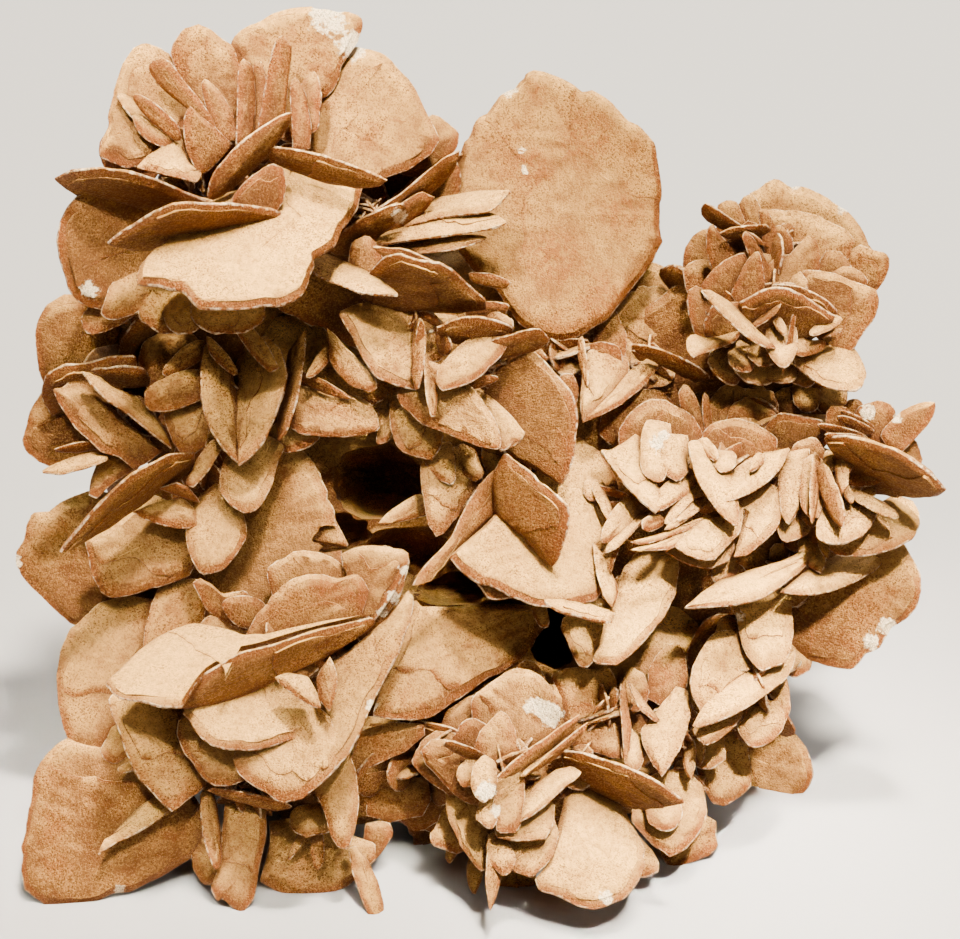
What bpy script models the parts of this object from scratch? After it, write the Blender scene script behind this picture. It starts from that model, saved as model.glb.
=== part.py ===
"""Gypsum sand rose: a cluster of flat lens-shaped crystals grown together as one stone.

Metres, +Z up, origin under the middle of the stone, at the level it rests on.  The crystals
of the show side are placed in that side's own frame, in millimetres: u across it, v up its
slope and w out of it.  The crystals of the back and the lower sides follow a rule around the
heart of each rosette.
"""
import math
import random

import bmesh
import bpy
from mathutils import Matrix, Vector

# ---------------------------------------------------------------- driving dimensions
MM = 0.001
NODE = "sand_rose"
SLOPE = math.radians(30.0)        # the show side leans back by this much
REST_LEVEL = -186.0               # mm, level of the resting facets, from the show side's centre
THIN = 3.2                        # mm, least thickness of a crystal
THICKEN = 0.05                    # more thickness for each mm of its smaller side
BEVEL = 5.0                       # mm, width of the bevel behind the knife rim
BEVELLED_AREA = 2600.0            # mm2, crystals smaller than this are plain lenses
BROAD_AREA = 5000.0               # mm2, crystals larger than this have a rounder outline
SOLID_AREA = 1900.0               # mm2, smaller crystals are left to the surface finish
TIE_THICKNESS = 11.0              # mm
GOLDEN = math.radians(137.5)      # turn between one crystal of a rosette and the next
SEED = 7

# Outline of a crystal: tip exponent, tip power, widest place along it, width kept at the root
ROUND = (2.0, 0.5, 0.52, 0.55)
LEAF = (1.8, 0.70, 0.45, 0.50)
PLATE = (4.5, 0.6, 0.55, 0.80)
LENS = (2.0, 0.62, 0.50, 0.0)
DISC = (2.2, 0.5, 0.56, 0.42)

# ---------------------------------------------------------------- crystals of the show side
# Each row: root u, v, w; tip u, v, w; width; roll in degrees; outline
CROWN_LEFT = [
    (-152, 160, 32, -171, 214, 22, 46, 15, ROUND),
    (-158, 158, 33, -191, 161, 28, 24, -10, ROUND),
    (-158, 168, 36, -181, 188, 36, 14, 50, LEAF),
    (-152, 162, 40, -174, 176, 42, 13, 20, LEAF),
    (-131, 164, 45, -165, 204, 50, 17, -20, LEAF),
    (-147, 164, 44, -173, 187, 48, 10, -25, LEAF),
    (-133, 140, 42, -147, 184, 56, 22, 10, LEAF),
    (-140, 143, 48, -172, 153, 50, 30, 35, LEAF),
    (-129, 165, 28, -142, 223, 25, 38, 5, ROUND),
    (-122, 160, 44, -137, 194, 46, 13, 10, LEAF),
    (-122, 128, 30, -213, 145, 60, 60, -68, LEAF),
    (-92, 121, 32, -187, 114, 72, 64, -66, LEAF),
    (-94, 165, 18, -76, 234, 8, 68, 0, ROUND),
    (-110, 160, 42, -99, 219, 48, 13, 25, LEAF),
    (-117, 160, 44, -118, 212, 44, 10, 30, LEAF),
    (-110, 165, 38, -110, 208, 36, 10, -20, LEAF),
    (-90, 162, 40, -92, 203, 38, 13, 15, LEAF),
    (-88, 162, 34, -83, 199, 30, 16, -15, LEAF),
    (-84, 142, 18, -48, 207, 4, 76, 0, ROUND),
    (-40, 148, -6, -13, 178, -10, 26, 0, ROUND),
    (-64, 122, 12, -10, 160, 12, 26, 60, LEAF),
    (-138, 132, 52, -94, 181, 62, 36, 50, LEAF),
    (-106, 160, 48, -46, 144, 66, 32, 62, LEAF),
    (-114, 126, 50, -101, 163, 62, 20, 10, LEAF),
    (-113, 134, 38, -117, 79, 84, 92, 0, ROUND),
    (-150, 132, 22, -204, 88, 40, 62, -25, ROUND),
    (-158, 100, 24, -188, 77, 38, 20, 0, ROUND),
    (-165, 92, 16, -199, 70, 28, 18, 0, ROUND),
    (-150, 100, 20, -161, 66, 34, 30, -10, ROUND),
    (-135, 98, 22, -151, 67, 38, 28, 15, ROUND),
    (-124, 100, 22, -127, 66, 42, 42, 0, ROUND),
]
LEFT_SIDE = [
    (-165, 60, -25, -226, 74, -28, 56, 0, ROUND),
    (-168, 44, -8, -221, 42, 8, 32, -45, LEAF),
    (-165, 46, 0, -200, 48, 6, 22, -60, LEAF),
    (-162, 8, 0, -215, 43, 12, 36, 15, LEAF),
    (-150, 6, 12, -201, 50, 20, 34, 55, LEAF),
    (-180, 20, -15, -231, 16, -12, 36, 0, ROUND),
    (-188, 13, 2, -215, 10, 10, 9, -55, LEAF),
    (-186, 8, 5, -222, -3, 15, 11, 45, LEAF),
    (-172, 2, -6, -197, -14, 2, 22, 10, ROUND),
    (-165, -36, -28, -234, -42, -22, 64, 0, ROUND),
    (-175, -62, -15, -197, -143, 2, 52, 0, ROUND),
    (-138, -52, -12, -172, -92, 0, 32, 0, ROUND),
]
MIDDLE_LEFT = [
    (-140, 55, -12, -174, 52, -6, 34, 0, ROUND),
    (-136, 64, 2, -161, 47, 10, 11, 0, LEAF),
    (-134, 46, 4, -170, 33, 14, 18, 0, ROUND),
    (-146, 42, -2, -151, 2, 8, 26, 0, ROUND),
    (-138, 68, 2, -124, -2, 34, 34, -38, LEAF),
    (-104, 68, 2, -118, -2, 34, 36, 40, LEAF),
    (-138, 66, 12, -120, 46, 22, 7, 0, LEAF),
    (-121, 74, 14, -99, 46, 26, 10, 0, LEAF),
    (-90, 70, 2, -100, 12, 20, 18, 55, LEAF),
    (-100, 42, 0, -50, 22, 12, 32, -10, ROUND),
    (-92, 48, 6, -63, 35, 14, 8, 40, LEAF),
    (-96, 26, -4, -92, 9, 2, 30, 0, ROUND),
    (-130, 16, 10, -148, -12, 20, 10, 30, LEAF),
    (-138, 8, 6, -211, -44, 40, 44, -72, LEAF),
    (-148, -22, -6, -193, -60, 4, 52, 0, ROUND),
    (-138, -26, 8, -177, -21, 22, 15, 20, LEAF),
    (-138, -16, 10, -164, -9, 20, 7, -40, LEAF),
    (-130, -4, 0, -137, -54, 18, 38, 0, LEAF),
    (-103, 20, 0, -120, -23, 20, 30, 10, LEAF),
    (-110, 0, -20, -64, -38, -6, 34, 0, ROUND),
]
LOWER_LEFT = [
    (-45, -72, 30, -187, -110, 60, 66, 50, LENS),
    (-96, -98, 22, -70, -49, 22, 54, 0, ROUND),
    (-90, -78, 8, -92, -39, 6, 46, 0, ROUND),
    (-70, -84, 5, -40, -36, 2, 30, 0, ROUND),
    (-94, -152, 38, -32, -56, 24, 46, -32, LENS),
    (-88, -110, 30, -99, -166, 52, 60, 12, LEAF),
    (-108, -104, 34, -117, -139, 56, 66, 0, ROUND),
    (-98, -98, 48, -79, -121, 60, 17, -20, LEAF),
    (-78, -92, 44, -73, -119, 52, 9, 20, LEAF),
    (20, -74, -22, -52, -112, 18, 60, 0, ROUND),
    (-172, -100, 6, -146, -184, 30, 44, -30, LEAF),
    (-172, -124, -5, -188, -148, 6, 18, 0, ROUND),
    (-168, -146, 12, -183, -151, 18, 6, 30, LEAF),
    (-122, -126, 22, -142, -157, 32, 32, 0, ROUND),
    (-94, -170, 12, -139, -158, 20, 12, -55, LEAF),
    (-116, -78, 14, -144, -56, 24, 13, 0, LEAF),
    (-116, -84, 12, -145, -85, 24, 22, 0, ROUND),
    (-104, -76, 12, -129, -66, 24, 17, 0, LEAF),
    (-28, -14, -6, -54, -30, 6, 13, 0, LEAF),
]
FOOT_LEFT = [
    (-136, -162, -6, -231, -184, 6, 82, 0, ROUND),
    (-146, -163, 6, -193, -193, 18, 14, 45, LEAF),
    (-138, -158, 4, -131, -202, 16, 14, -50, LEAF),
    (-136, -180, -6, -137, -209, 0, 20, 0, ROUND),
    (-117, -158, 0, -120, -222, 10, 24, 0, LEAF),
    (-124, -186, -12, -131, -219, -6, 18, 0, ROUND),
    (-84, -168, -16, -90, -215, -4, 60, 0, ROUND),
    (-85, -168, 2, -84, -185, 12, 25, 0, ROUND),
    (-87, -179, 0, -97, -197, 6, 6, 40, LEAF),
    (-68, -138, 14, -67, -192, 26, 24, 0, LEAF),
    (-70, -142, 0, -31, -128, 6, 32, 0, ROUND),
    (-62, -172, 0, -50, -227, 12, 17, -20, LEAF),
    (-62, -166, -20, -24, -170, -16, 26, 0, ROUND),
    (-60, -182, -15, -31, -184, -12, 24, 0, ROUND),
    (-82, -180, 0, -81, -203, 5, 7, 0, LEAF),
    (-54, -74, 31, -145, -106, 56, 30, -45, LEAF),
    (-75, -92, 16, -38, -42, 22, 40, -20, LEAF),
]
CENTRE_LEFT = [
    (-88, 106, 22, -38, 86, 46, 28, -55, LENS),
    (-55, 88, 18, -60, 118, 20, 19, 0, ROUND),
    (-60, 106, 12, -21, 104, 22, 20, 50, LEAF),
    (-58, 88, 14, 6, 82, 34, 50, 58, ROUND),
    (-86, 84, 4, -52, 39, 24, 24, 10, LEAF),
    (-74, 62, 6, -87, 45, 16, 7, 0, LEAF),
    (-22, 86, 4, -46, 38, 30, 58, 0, ROUND),
    (-30, 76, 24, -31, 38, 42, 12, 55, LEAF),
    (-26, 58, 30, -23, 24, 48, 10, -50, LEAF),
    (-30, 56, 28, -29, 76, 38, 5, 0, LEAF),
    (-32, 42, 0, -27, 4, 12, 30, 0, ROUND),
    (-42, 38, -6, -51, 11, 6, 13, 0, LEAF),
    (-38, 126, 0, 18, 140, 14, 16, -52, LEAF),
    (-58, 114, 4, 16, 124, 22, 22, -56, PLATE),
    (-74, 108, 8, -35, 134, 22, 22, 55, LEAF),
    (-52, 118, 2, -22, 140, 14, 16, 40, LEAF),
    (-48, 110, 0, 4, 116, 16, 14, -45, LEAF),
    (-6, 98, 0, 18, 92, 8, 8, 30, LEAF),
]
BIG_DISC = [
    (38, 60, -16, 34, 203, -36, 110, 0, DISC),
]
CENTRE = [
    (16, 72, 26, -23, 39, 44, 20, 15, LENS),
    (14, 66, 24, -24, 72, 42, 26, -55, LEAF),
    (4, 58, 24, 37, 69, 40, 20, 48, LEAF),
    (-8, 74, 14, 15, 83, 22, 14, 30, LEAF),
    (2, 74, 18, 17, 70, 30, 14, 0, ROUND),
    (-12, 42, 26, 10, 46, 34, 8, 30, LEAF),
    (-34, 52, 28, -13, 44, 42, 13, 0, LEAF),
    (-22, 64, 22, -14, 62, 38, 14, 20, LEAF),
    (-37, 50, 18, 14, 13, 44, 38, 0, ROUND),
    (2, 42, 12, 19, 14, 34, 26, 0, PLATE),
    (-12, 32, 8, 2, 8, 30, 42, 0, ROUND),
    (0, 22, 4, 49, 31, 34, 78, 0, ROUND),
    (24, 56, 0, 34, 57, 6, 9, 0, ROUND),
    (44, 32, -4, 44, 50, 0, 12, 0, ROUND),
    (-18, 8, 2, -13, -10, 12, 18, 0, LEAF),
    (-12, 12, -4, 1, -6, 8, 14, 0, LEAF),
    (-8, 2, 0, -24, -32, 14, 34, 0, ROUND),
    (9, 4, 16, -33, -57, 34, 22, -30, LENS),
    (1, -8, 14, 42, -37, 42, 42, 40, PLATE),
    (50, 24, -18, 10, -66, 36, 96, 0, ROUND),
    (30, -20, -6, -4, -60, 28, 52, 0, ROUND),
    (66, -62, 18, 31, -66, 46, 26, 62, LEAF),
    (57.5, -34, 14, 67.5, -69, 34, 14, -40, LEAF),
    (60, -66, -8, 47, -99, 8, 26, 0, LEAF),
    (28, -64, 0, 33, -80, 6, 8, 0, ROUND),
    (98, -34, -4, 58, -98, 36, 32, 15, LENS),
]
RIGHT_CROWN = [
    (156, 90, -34, 170, 142, -44, 78, 0, DISC),
    (176, 92, -28, 206, 101, -32, 30, 0, ROUND),
    (170, 92, -20, 185, 109, -22, 13, 0, LEAF),
    (160, 86, -22, 172, 128, -32, 54, 0, ROUND),
    (134, 116, -8, 111, 133, 0, 18, -55, LEAF),
    (132, 108, -18, 123, 136, -20, 18, 0, ROUND),
    (142, 112, -24, 133, 139, -28, 22, 0, ROUND),
    (126, 94, -6, 115, 125, 0, 20, 0, LEAF),
    (128, 100, -26, 103, 108, -28, 34, 0, ROUND),
    (122, 96, -20, 101, 99, -16, 22, 0, ROUND),
    (143, 118, -4, 118, 120, 8, 14, -55, LENS),
    (130, 118, 0, 143, 123, 6, 5, 30, LEAF),
    (130, 119, 2, 143, 113, 10, 6, 30, LEAF),
    (146, 94, 0, 132, 120, 12, 17, 25, LEAF),
    (134, 88, 2, 119, 107, 10, 30, 0, PLATE),
    (132, 82, 10, 140, 111, 14, 15, -10, LEAF),
    (145, 90, 6, 140, 109, 12, 9, 40, LEAF),
    (148, 106, -10, 142, 132, -8, 18, 10, LEAF),
    (154, 106, -12, 150, 125, -10, 12, 0, LEAF),
    (150, 86, -4, 166, 119, -6, 36, 0, LEAF),
    (164, 96, -14, 177, 109, -14, 15, 0, ROUND),
    (154, 84, -6, 201, 78, 6, 44, 0, ROUND),
    (178, 88, -4, 188, 104, -4, 17, 0, ROUND),
    (154, 64, 10, 154, 88, 36, 54, 0, ROUND),
    (160, 70, 4, 164, 93, 26, 36, 0, ROUND),
    (148, 59, 32, 109, 91, 38, 20, 55, LENS),
    (132, 70, 6, 112, 78, 20, 26, 0, ROUND),
    (126, 80, -4, 103, 83, 6, 34, 0, ROUND),
    (134, 68, 8, 102, 60, 26, 21, 35, LEAF),
    (132, 71, 22, 152, 85, 36, 8, -45, LEAF),
    (147, 77, 26, 152, 66, 34, 5, 0, LEAF),
    (152, 48, 22, 157, 79, 36, 11, 25, LENS),
    (149, 78, 16, 151, 50, 36, 18, 0, LEAF),
    (180, 77, 16, 163, 66, 30, 8, 30, LEAF),
    (168, 67, 16, 182, 70, 24, 5, -40, LEAF),
    (170, 67, 10, 158, 57, 26, 16, 0, ROUND),
    (178, 62, 0, 174, 40, 22, 40, 0, ROUND),
    (136, 63, 6, 127, 50, 16, 17, 0, ROUND),
    (142, 65, 8, 141, 51, 18, 16, 0, ROUND),
    (130, 58, -10, 118, 47, 2, 24, 0, ROUND),
    (140, 58, -6, 138, 42, 8, 24, 0, ROUND),
    (151, 54, -2, 151, 43, 8, 18, 0, ROUND),
    (162, 54, -4, 163, 41, 4, 14, 0, ROUND),
]
BEHIND_RIGHT = [
    (86, 54, -40, 84, 95, -44, 46, 0, ROUND),
    (66, 52, -30, 66, 84, -34, 18, 0, ROUND),
    (118, 46, -14, 75, 63, 2, 30, -64, LEAF),
    (74, 56, -14, 50, 24, 12, 22, 10, LENS),
    (92, 53, -14, 51, 23, 14, 13, 10, LENS),
    (52, 46, -20, 70, 62, -10, 26, 0, LEAF),
    (50, 68, -14, 54, 41, 4, 6, 40, LEAF),
    (36, 66, -24, 43, 50, -14, 7, 30, LEAF),
    (112, 16, -8, 101, 45, -8, 11, 10, LEAF),
    (116, 14, -8, 113, 41, -8, 6, 30, LEAF),
    (128, 12, -20, 124, 44, -20, 30, 0, ROUND),
    (136, 10, -16, 138, 38, -16, 26, 0, ROUND),
    (158, 6, -16, 159, 30, -2, 36, 0, ROUND),
    (165, 46, -34, 167, 29, -26, 16, 0, ROUND),
    (180, 44, -36, 176, 27, -28, 18, 0, ROUND),
]
RIGHT_MIDDLE = [
    (80, 8, -20, 76, 42, -16, 46, 0, ROUND),
    (90, 0, -4, 91, 37, 0, 50, 0, ROUND),
    (66, 14, 8, 86, -23, 34, 28, -35, LEAF),
    (90, 26, 2, 86, -10, 26, 18, 0, LEAF),
    (98, 18, 10, 97, -6, 22, 16, 0, PLATE),
    (108, 0, 10, 85, -22, 32, 13, 20, LEAF),
    (112, -4, 12, 91, -28, 34, 8, 40, LEAF),
    (112, -16, 20, 97, -26, 36, 5, 30, LEAF),
    (115, -12, 16, 91, -31, 38, 7, 30, LEAF),
    (119, -22, 20, 74, -36, 44, 9, 25, LENS),
    (119, -25, 20, 74, -41, 46, 11, 25, LENS),
    (92, -24, 22, 79, -29, 36, 8, 0, ROUND),
    (90, -18, 10, 60, -41, 36, 13, 35, LENS),
    (86, -12, 4, 60, -36, 26, 16, 0, LEAF),
    (57, -6, 4, 69, -31, 22, 7, -30, LEAF),
    (58, -4, 0, 57, -16, 8, 12, 0, ROUND),
    (58, -9, 4, 77, -14, 12, 5, 30, LEAF),
    (62, -18, 4, 79, -17, 12, 5, 30, LEAF),
    (128, -6, 0, 125, 27, 6, 50, 0, LEAF),
    (109, 16, 18, 127, -28, 42, 21, -30, LEAF),
    (157, 9, 10, 120, -18, 40, 21, 35, LEAF),
    (122, 10, 18, 121, -2, 32, 14, 0, LEAF),
    (110, 16, 18, 119, 4, 30, 7, 0, LEAF),
    (142, 9, 16, 134, -1, 30, 6, 0, LEAF),
    (116, -10, 16, 110, -46, 42, 36, 0, ROUND),
    (118, -12, 6, 110, -51, 32, 46, 0, ROUND),
    (146, 2, 2, 134, -46, 30, 42, 0, ROUND),
    (152, 8, 2, 157, -23, 18, 22, 0, ROUND),
    (159, -16, 0, 154, -37, 14, 20, 0, ROUND),
    (128, -44, 6, 117, -56, 20, 12, 0, ROUND),
    (172, -38, -8, 101, -69, 42, 28, 35, LEAF),
]
RIGHT_TIP = [
    (186, -2, -6, 203, -44, 18, 50, 0, ROUND),
    (181, -4, 6, 180, -39, 34, 36, 0, ROUND),
    (169, 3, 16, 181, -30, 42, 13, 45, LEAF),
    (167, 9, 4, 165, -30, 26, 13, 10, LEAF),
    (169, 10, 12, 165, -28, 30, 8, -45, LEAF),
    (159, -12, 0, 168, -30, 14, 8, 0, LEAF),
    (180, 9, 16, 181, -13, 34, 8, 30, LEAF),
    (186, 11, 14, 181, -3, 28, 8, 0, LEAF),
    (184, 2, 12, 204, 4, 28, 14, 0, LEAF),
    (182, -4, 12, 206, -3, 28, 11, -20, LEAF),
    (181, -6, 20, 186, -18, 30, 5, 0, LEAF),
    (187, -6, 10, 197, -14, 20, 10, 0, ROUND),
    (184, -10, 18, 210, -25, 36, 10, -45, LEAF),
    (172, 10, 12, 231, -11, 50, 36, 66, LEAF),
    (202, 10, 8, 228, 35, 12, 17, 0, LEAF),
    (202, 4, -2, 222, 11, -2, 26, 0, ROUND),
    (196, 12, 4, 201, 35, 8, 24, 0, PLATE),
    (187, 16, 2, 189, 36, 4, 15, 0, PLATE),
    (182, 14, 4, 178, 33, 8, 16, 0, ROUND),
    (195, 15, 12, 167, 23, 30, 8, -50, LEAF),
    (197, 18, 10, 177, 28, 24, 7, -40, LEAF),
    (198, 20, 8, 179, 30, 20, 6, -40, LEAF),
    (196, 13, 14, 171, 18, 36, 8, -45, LEAF),
    (174, 6, 0, 156, 10, 2, 18, 0, ROUND),
    (176, 10, 8, 176, -2, 20, 9, 0, LEAF),
]
RIGHT_SKIRT = [
    (144, -50, -36, 221, -68, -6, 76, 0, DISC),
    (144, -56, -14, 139, -102, 12, 34, 0, PLATE),
    (208, -40, -20, 149, -61, 16, 28, 35, LEAF),
    (164, -32, -8, 171, -52, 8, 13, 0, LEAF),
    (171, -32, 2, 174, -45, 14, 6, 0, LEAF),
    (128, -106, -30, 118, -69, -20, 38, 0, ROUND),
    (130, -84, -4, 108, -122, 20, 30, -10, ROUND),
    (158, -96, -6, 105, -129, 30, 22, 32, LEAF),
    (130, -74, -16, 128, -106, 8, 24, 0, ROUND),
    (134, -120, 0, 110, -138, 20, 14, 20, LEAF),
    (158, -84, -30, 162, -106, -22, 18, 0, ROUND),
    (144, -108, -14, 139, -140, 0, 28, 0, ROUND),
    (150, -102, -18, 152, -131, -8, 12, 0, ROUND),
    (126, -146, -96, 167, -157, -84, 48, 0, ROUND),
    (118, -132, -36, 126, -168, -24, 36, 0, ROUND),
    (112, -130, -18, 117, -151, -6, 22, 0, ROUND),
    (94, -146, -14, 103, -192, 4, 36, 0, ROUND),
    (106, -164, -36, 107, -200, -26, 34, 0, ROUND),
    (82, -164, -10, 86, -205, 4, 28, 0, ROUND),
    (88, -160, 0, 96, -181, 10, 20, 0, ROUND),
    (36, -146, 10, 104, -165, 50, 32, 60, LEAF),
]
LOWER_RIGHT = [
    (60, -148, 6, 50, -96, -6, 46, 0, ROUND),
    (73, -146, 14, 71, -102, 8, 11, 30, LENS),
    (90, -127, 12, 73, -104, 12, 9, 50, LEAF),
    (78, -122, -4, 78, -98, -8, 16, 0, LEAF),
    (94, -128, -6, 96, -85, -10, 26, 0, ROUND),
    (103, -104, 0, 89, -155, 24, 26, 15, LEAF),
    (80, -130, 2, 75, -151, 16, 14, 0, ROUND),
    (105, -132, -6, 105, -157, 6, 8, 20, LEAF),
    (110, -130, -12, 110, -150, -2, 8, 0, LEAF),
    (24, -146, 8, 20, -98, 4, 52, 0, ROUND),
    (25, -120, -6, 25, -93, -4, 18, 0, ROUND),
    (-6, -146, -2, -12, -111, -4, 28, 0, ROUND),
    (22, -160, 10, -37, -139, 16, 36, 0, ROUND),
    (18, -162, 18, -30, -146, 24, 28, 0, ROUND),
    (8, -152, 30, 10, -119, 26, 26, 0, ROUND),
    (2, -142, 16, -10, -126, 20, 22, 0, ROUND),
    (2, -144, 26, -20, -134, 38, 11, -55, LEAF),
    (4, -142, 22, -10, -157, 34, 15, 0, ROUND),
    (8, -140, 32, 0, -168, 50, 18, 0, PLATE),
    (52, -120, 24, 6, -156, 52, 15, -55, LENS),
    (43, -139, 24, 19, -154, 44, 9, -50, LENS),
    (47, -144, 24, 19, -176, 48, 19, 35, LENS),
    (16, -150, 34, 12, -184, 44, 17, 0, ROUND),
    (24, -156, 20, 22, -187, 42, 36, 0, ROUND),
    (6, -160, 34, 2, -179, 46, 12, 0, ROUND),
    (58, -158, 8, 54, -219, 42, 58, 0, ROUND),
    (26, -168, 16, 24, -206, 38, 32, 0, ROUND),
    (6, -184, 30, 15, -201, 40, 14, 0, ROUND),
    (7, -176, 28, 5, -219, 42, 8, -20, LEAF),
    (0, -162, 12, -2, -203, 30, 28, 0, ROUND),
    (-4, -168, -4, -21, -192, 8, 24, 0, ROUND),
    (-2, -192, -10, -3, -214, 0, 9, 0, LEAF),
    (-12, -186, -5, -17, -199, 2, 6, 0, LEAF),
    (16, -190, -16, 18, -219, -8, 26, 0, ROUND),
]

SHOW_SIDE_CRYSTALS = (CROWN_LEFT + LEFT_SIDE + MIDDLE_LEFT + LOWER_LEFT + FOOT_LEFT
                      + CENTRE_LEFT + BIG_DISC + CENTRE + RIGHT_CROWN + BEHIND_RIGHT
                      + RIGHT_MIDDLE + RIGHT_TIP + RIGHT_SKIRT + LOWER_RIGHT)

# Hearts, where the crystals of a rosette have grown into one mass: u, v, w, radius
HEARTS = [
    (-122, 140, 14, 32), (-90, 150, 4, 26), (-152, 146, 18, 18), (-56, 126, 2, 20),
    (-172, 28, -16, 26), (-122, 36, -8, 28), (-138, 0, -2, 22), (-94, 34, -12, 20),
    (-134, 98, 12, 24), (-160, -38, -16, 24),
    (-98, -92, 14, 36), (-66, -92, 0, 22), (-136, -110, 10, 26),
    (-116, -162, -4, 28), (-76, -158, -4, 22),
    (-56, 98, 8, 20), (-30, 72, 4, 26),
    (2, 54, 8, 24), (44, 60, -26, 26), (16, 6, -2, 28), (46, -34, -8, 28),
    (148, 84, -6, 34), (126, 78, 0, 22), (152, 112, -22, 22),
    (86, 52, -38, 24), (140, 28, -24, 24),
    (96, 0, 2, 26), (126, 0, 2, 24), (150, -8, -6, 18),
    (186, -4, 4, 26),
    (160, -54, -24, 28), (132, -92, -16, 26), (82, -60, -8, 24),
    (62, -122, -4, 26), (98, -130, -8, 24), (104, -158, -18, 20),
    (14, -148, 16, 32), (48, -150, 6, 24), (-4, -172, 4, 20), (124, -134, -58, 26),
]

# The masses that all the rosettes have grown from, behind the show side: u, v, w and half sizes
TRUNKS = [
    (-5, 0, -66, 172, 140, 44), (26, -112, -34, 120, 56, 40), (-112, -98, -30, 58, 86, 34),
    (-134, 56, -52, 56, 86, 34),
]

# Long crystals that tie the outer rosettes to the trunk: root, tip, width, roll
TIES = [
    (-122, 140, 8, -30, 74, -14, 74, 0), (-122, 146, 6, -160, 34, -30, 66, 10),
    (-170, 34, -24, -30, 62, -22, 62, -15), (-128, 30, -20, -98, -92, -6, 84, 10),
    (94, 0, -14, 186, -2, -14, 56, 0), (84, 52, -46, 150, 84, -20, 64, 0),
    (-98, -92, 0, -104, -172, -14, 72, -10), (62, -122, -8, 14, -148, 8, 60, 0),
]

# Rosettes of the back and the lower sides, in mm from the show side's centre, world axes:
# heart x, y, z, reach, and the azimuth and elevation in degrees of the way it faces
FAR_ROSETTES = [
    (-122, 92, 112, 66, 110, 22), (-52, 104, 74, 70, 95, 8), (44, 96, 28, 72, 88, 10),
    (140, 70, 56, 58, 60, 12), (-176, 58, 18, 56, 150, 8), (-104, 96, -12, 70, 105, 0),
    (-14, 104, -36, 74, 92, -4), (86, 84, -44, 70, 72, 0), (160, 22, -40, 50, 30, 0),
    (-164, 34, -78, 58, 150, -10), (-80, 74, -106, 66, 108, -16), (20, 58, -112, 70, 88, -18),
    (104, 40, -112, 62, 55, -16), (-142, -34, -118, 50, 200, -14), (140, -28, -108, 44, 5, -8),
    (-30, -60, -140, 52, 268, -20),
]
FAR_CRYSTALS = 4                  # crystals of each far rosette

# Crystals that reach down to the rest level: root x, y, z, tip x, y, z, width, roll
FEET = [
    (104, 44, -118, 132, 66, -206, 66, 12), (8, 62, -116, 4, 88, -208, 76, -8),
    (-88, 62, -112, -108, 84, -206, 72, 10), (60, -18, -122, 76, -28, -204, 54, 25),
    (-24, -40, -120, -14, -56, -204, 50, -20),
]

# ---------------------------------------------------------------- frames
U_AXIS = Vector((1.0, 0.0, 0.0))
V_AXIS = Vector((0.0, math.sin(SLOPE), math.cos(SLOPE)))
W_AXIS = Vector((0.0, -math.cos(SLOPE), math.sin(SLOPE)))
SHOW_SIDE = Matrix((U_AXIS, V_AXIS, W_AXIS)).transposed()


def frame_along(direction, roll, outward):
    """Blade axes: along its length, across its width, out of its face."""
    along = direction.normalized()
    level = outward - along * outward.dot(along)
    level.normalize()
    right = along.cross(level)
    turn = math.radians(roll)
    face = level * math.cos(turn) + right * math.sin(turn)
    across = right * math.cos(turn) - level * math.sin(turn)
    return along, across, face


def half_width(outline, x):
    """Half the width at x, 0 at the root to 1 at the tip, as a share of its largest."""
    exponent, power, widest, kept = outline
    if x >= widest:
        s = (x - widest) / (1.0 - widest)
        return max(0.0, 1.0 - s ** exponent) ** power
    s = (widest - x) / widest
    if kept == 0.0:
        return max(0.0, 1.0 - s ** exponent) ** power
    return kept + (1.0 - kept) * math.sqrt(1.0 - s * s)


def outline_loop(outline, steps):
    """Points of the outline, x along the length from 0 to 1 and y across it from -1 to 1."""
    widest = outline[2]
    stations = [0.12 if outline[3] == 0.0 else 0.0]
    for i in range(steps):
        stations.append(widest + (1.0 - widest) * math.sin(0.47 * math.pi * i / steps))
    side = [(x, half_width(outline, x)) for x in stations]
    loop = side + [(1.0, 0.0)] + [(x, -y) for x, y in reversed(side)]
    if outline[3] == 0.0:
        loop.append((0.0, 0.0))
    return loop


def new_object(name, mesh):
    """Close a bmesh into a helper object of its own."""
    bmesh.ops.recalc_face_normals(mesh, faces=mesh.faces)
    data = bpy.data.meshes.new(name)
    mesh.to_mesh(data)
    mesh.free()
    obj = bpy.data.objects.new(name, data)
    bpy.context.scene.collection.objects.link(obj)
    return obj


def crystal(name, root, tip, width, roll, outline, outward, thickness=None):
    """One crystal: a knife rim with a bevel and two flat faces, or a plain lens if small."""
    length = (tip - root).length
    along, across, face = frame_along(tip - root, roll, outward)
    thick = thickness or THIN + THICKEN * min(width, length)
    area = width * length
    loop = outline_loop(outline, 3 if area > BROAD_AREA else 2)
    mesh = bmesh.new()

    def vertex(x, y, lift):
        spot = root + along * (x * length) + across * (0.5 * y * width) + face * lift
        return mesh.verts.new(spot * MM)

    rim = [vertex(x, y, 0.0) for x, y in loop]
    pairs = [(i, (i + 1) % len(loop)) for i in range(len(loop))]
    if area < BEVELLED_AREA:
        for side in (1, -1):
            peak = vertex(0.48, 0.0, 0.5 * side * thick)
            for i, j in pairs:
                mesh.faces.new((rim[i], rim[j], peak))
    else:
        keep_x = 1.0 - 2.0 * BEVEL / length
        keep_y = 1.0 - 2.0 * BEVEL / width
        for side in (1, -1):
            flat = [vertex(0.5 + (x - 0.5) * keep_x, y * keep_y, 0.5 * side * thick)
                    for x, y in loop]
            mesh.faces.new(flat)
            for i, j in pairs:
                mesh.faces.new((rim[i], rim[j], flat[j], flat[i]))
    return new_object(name, mesh)


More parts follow.
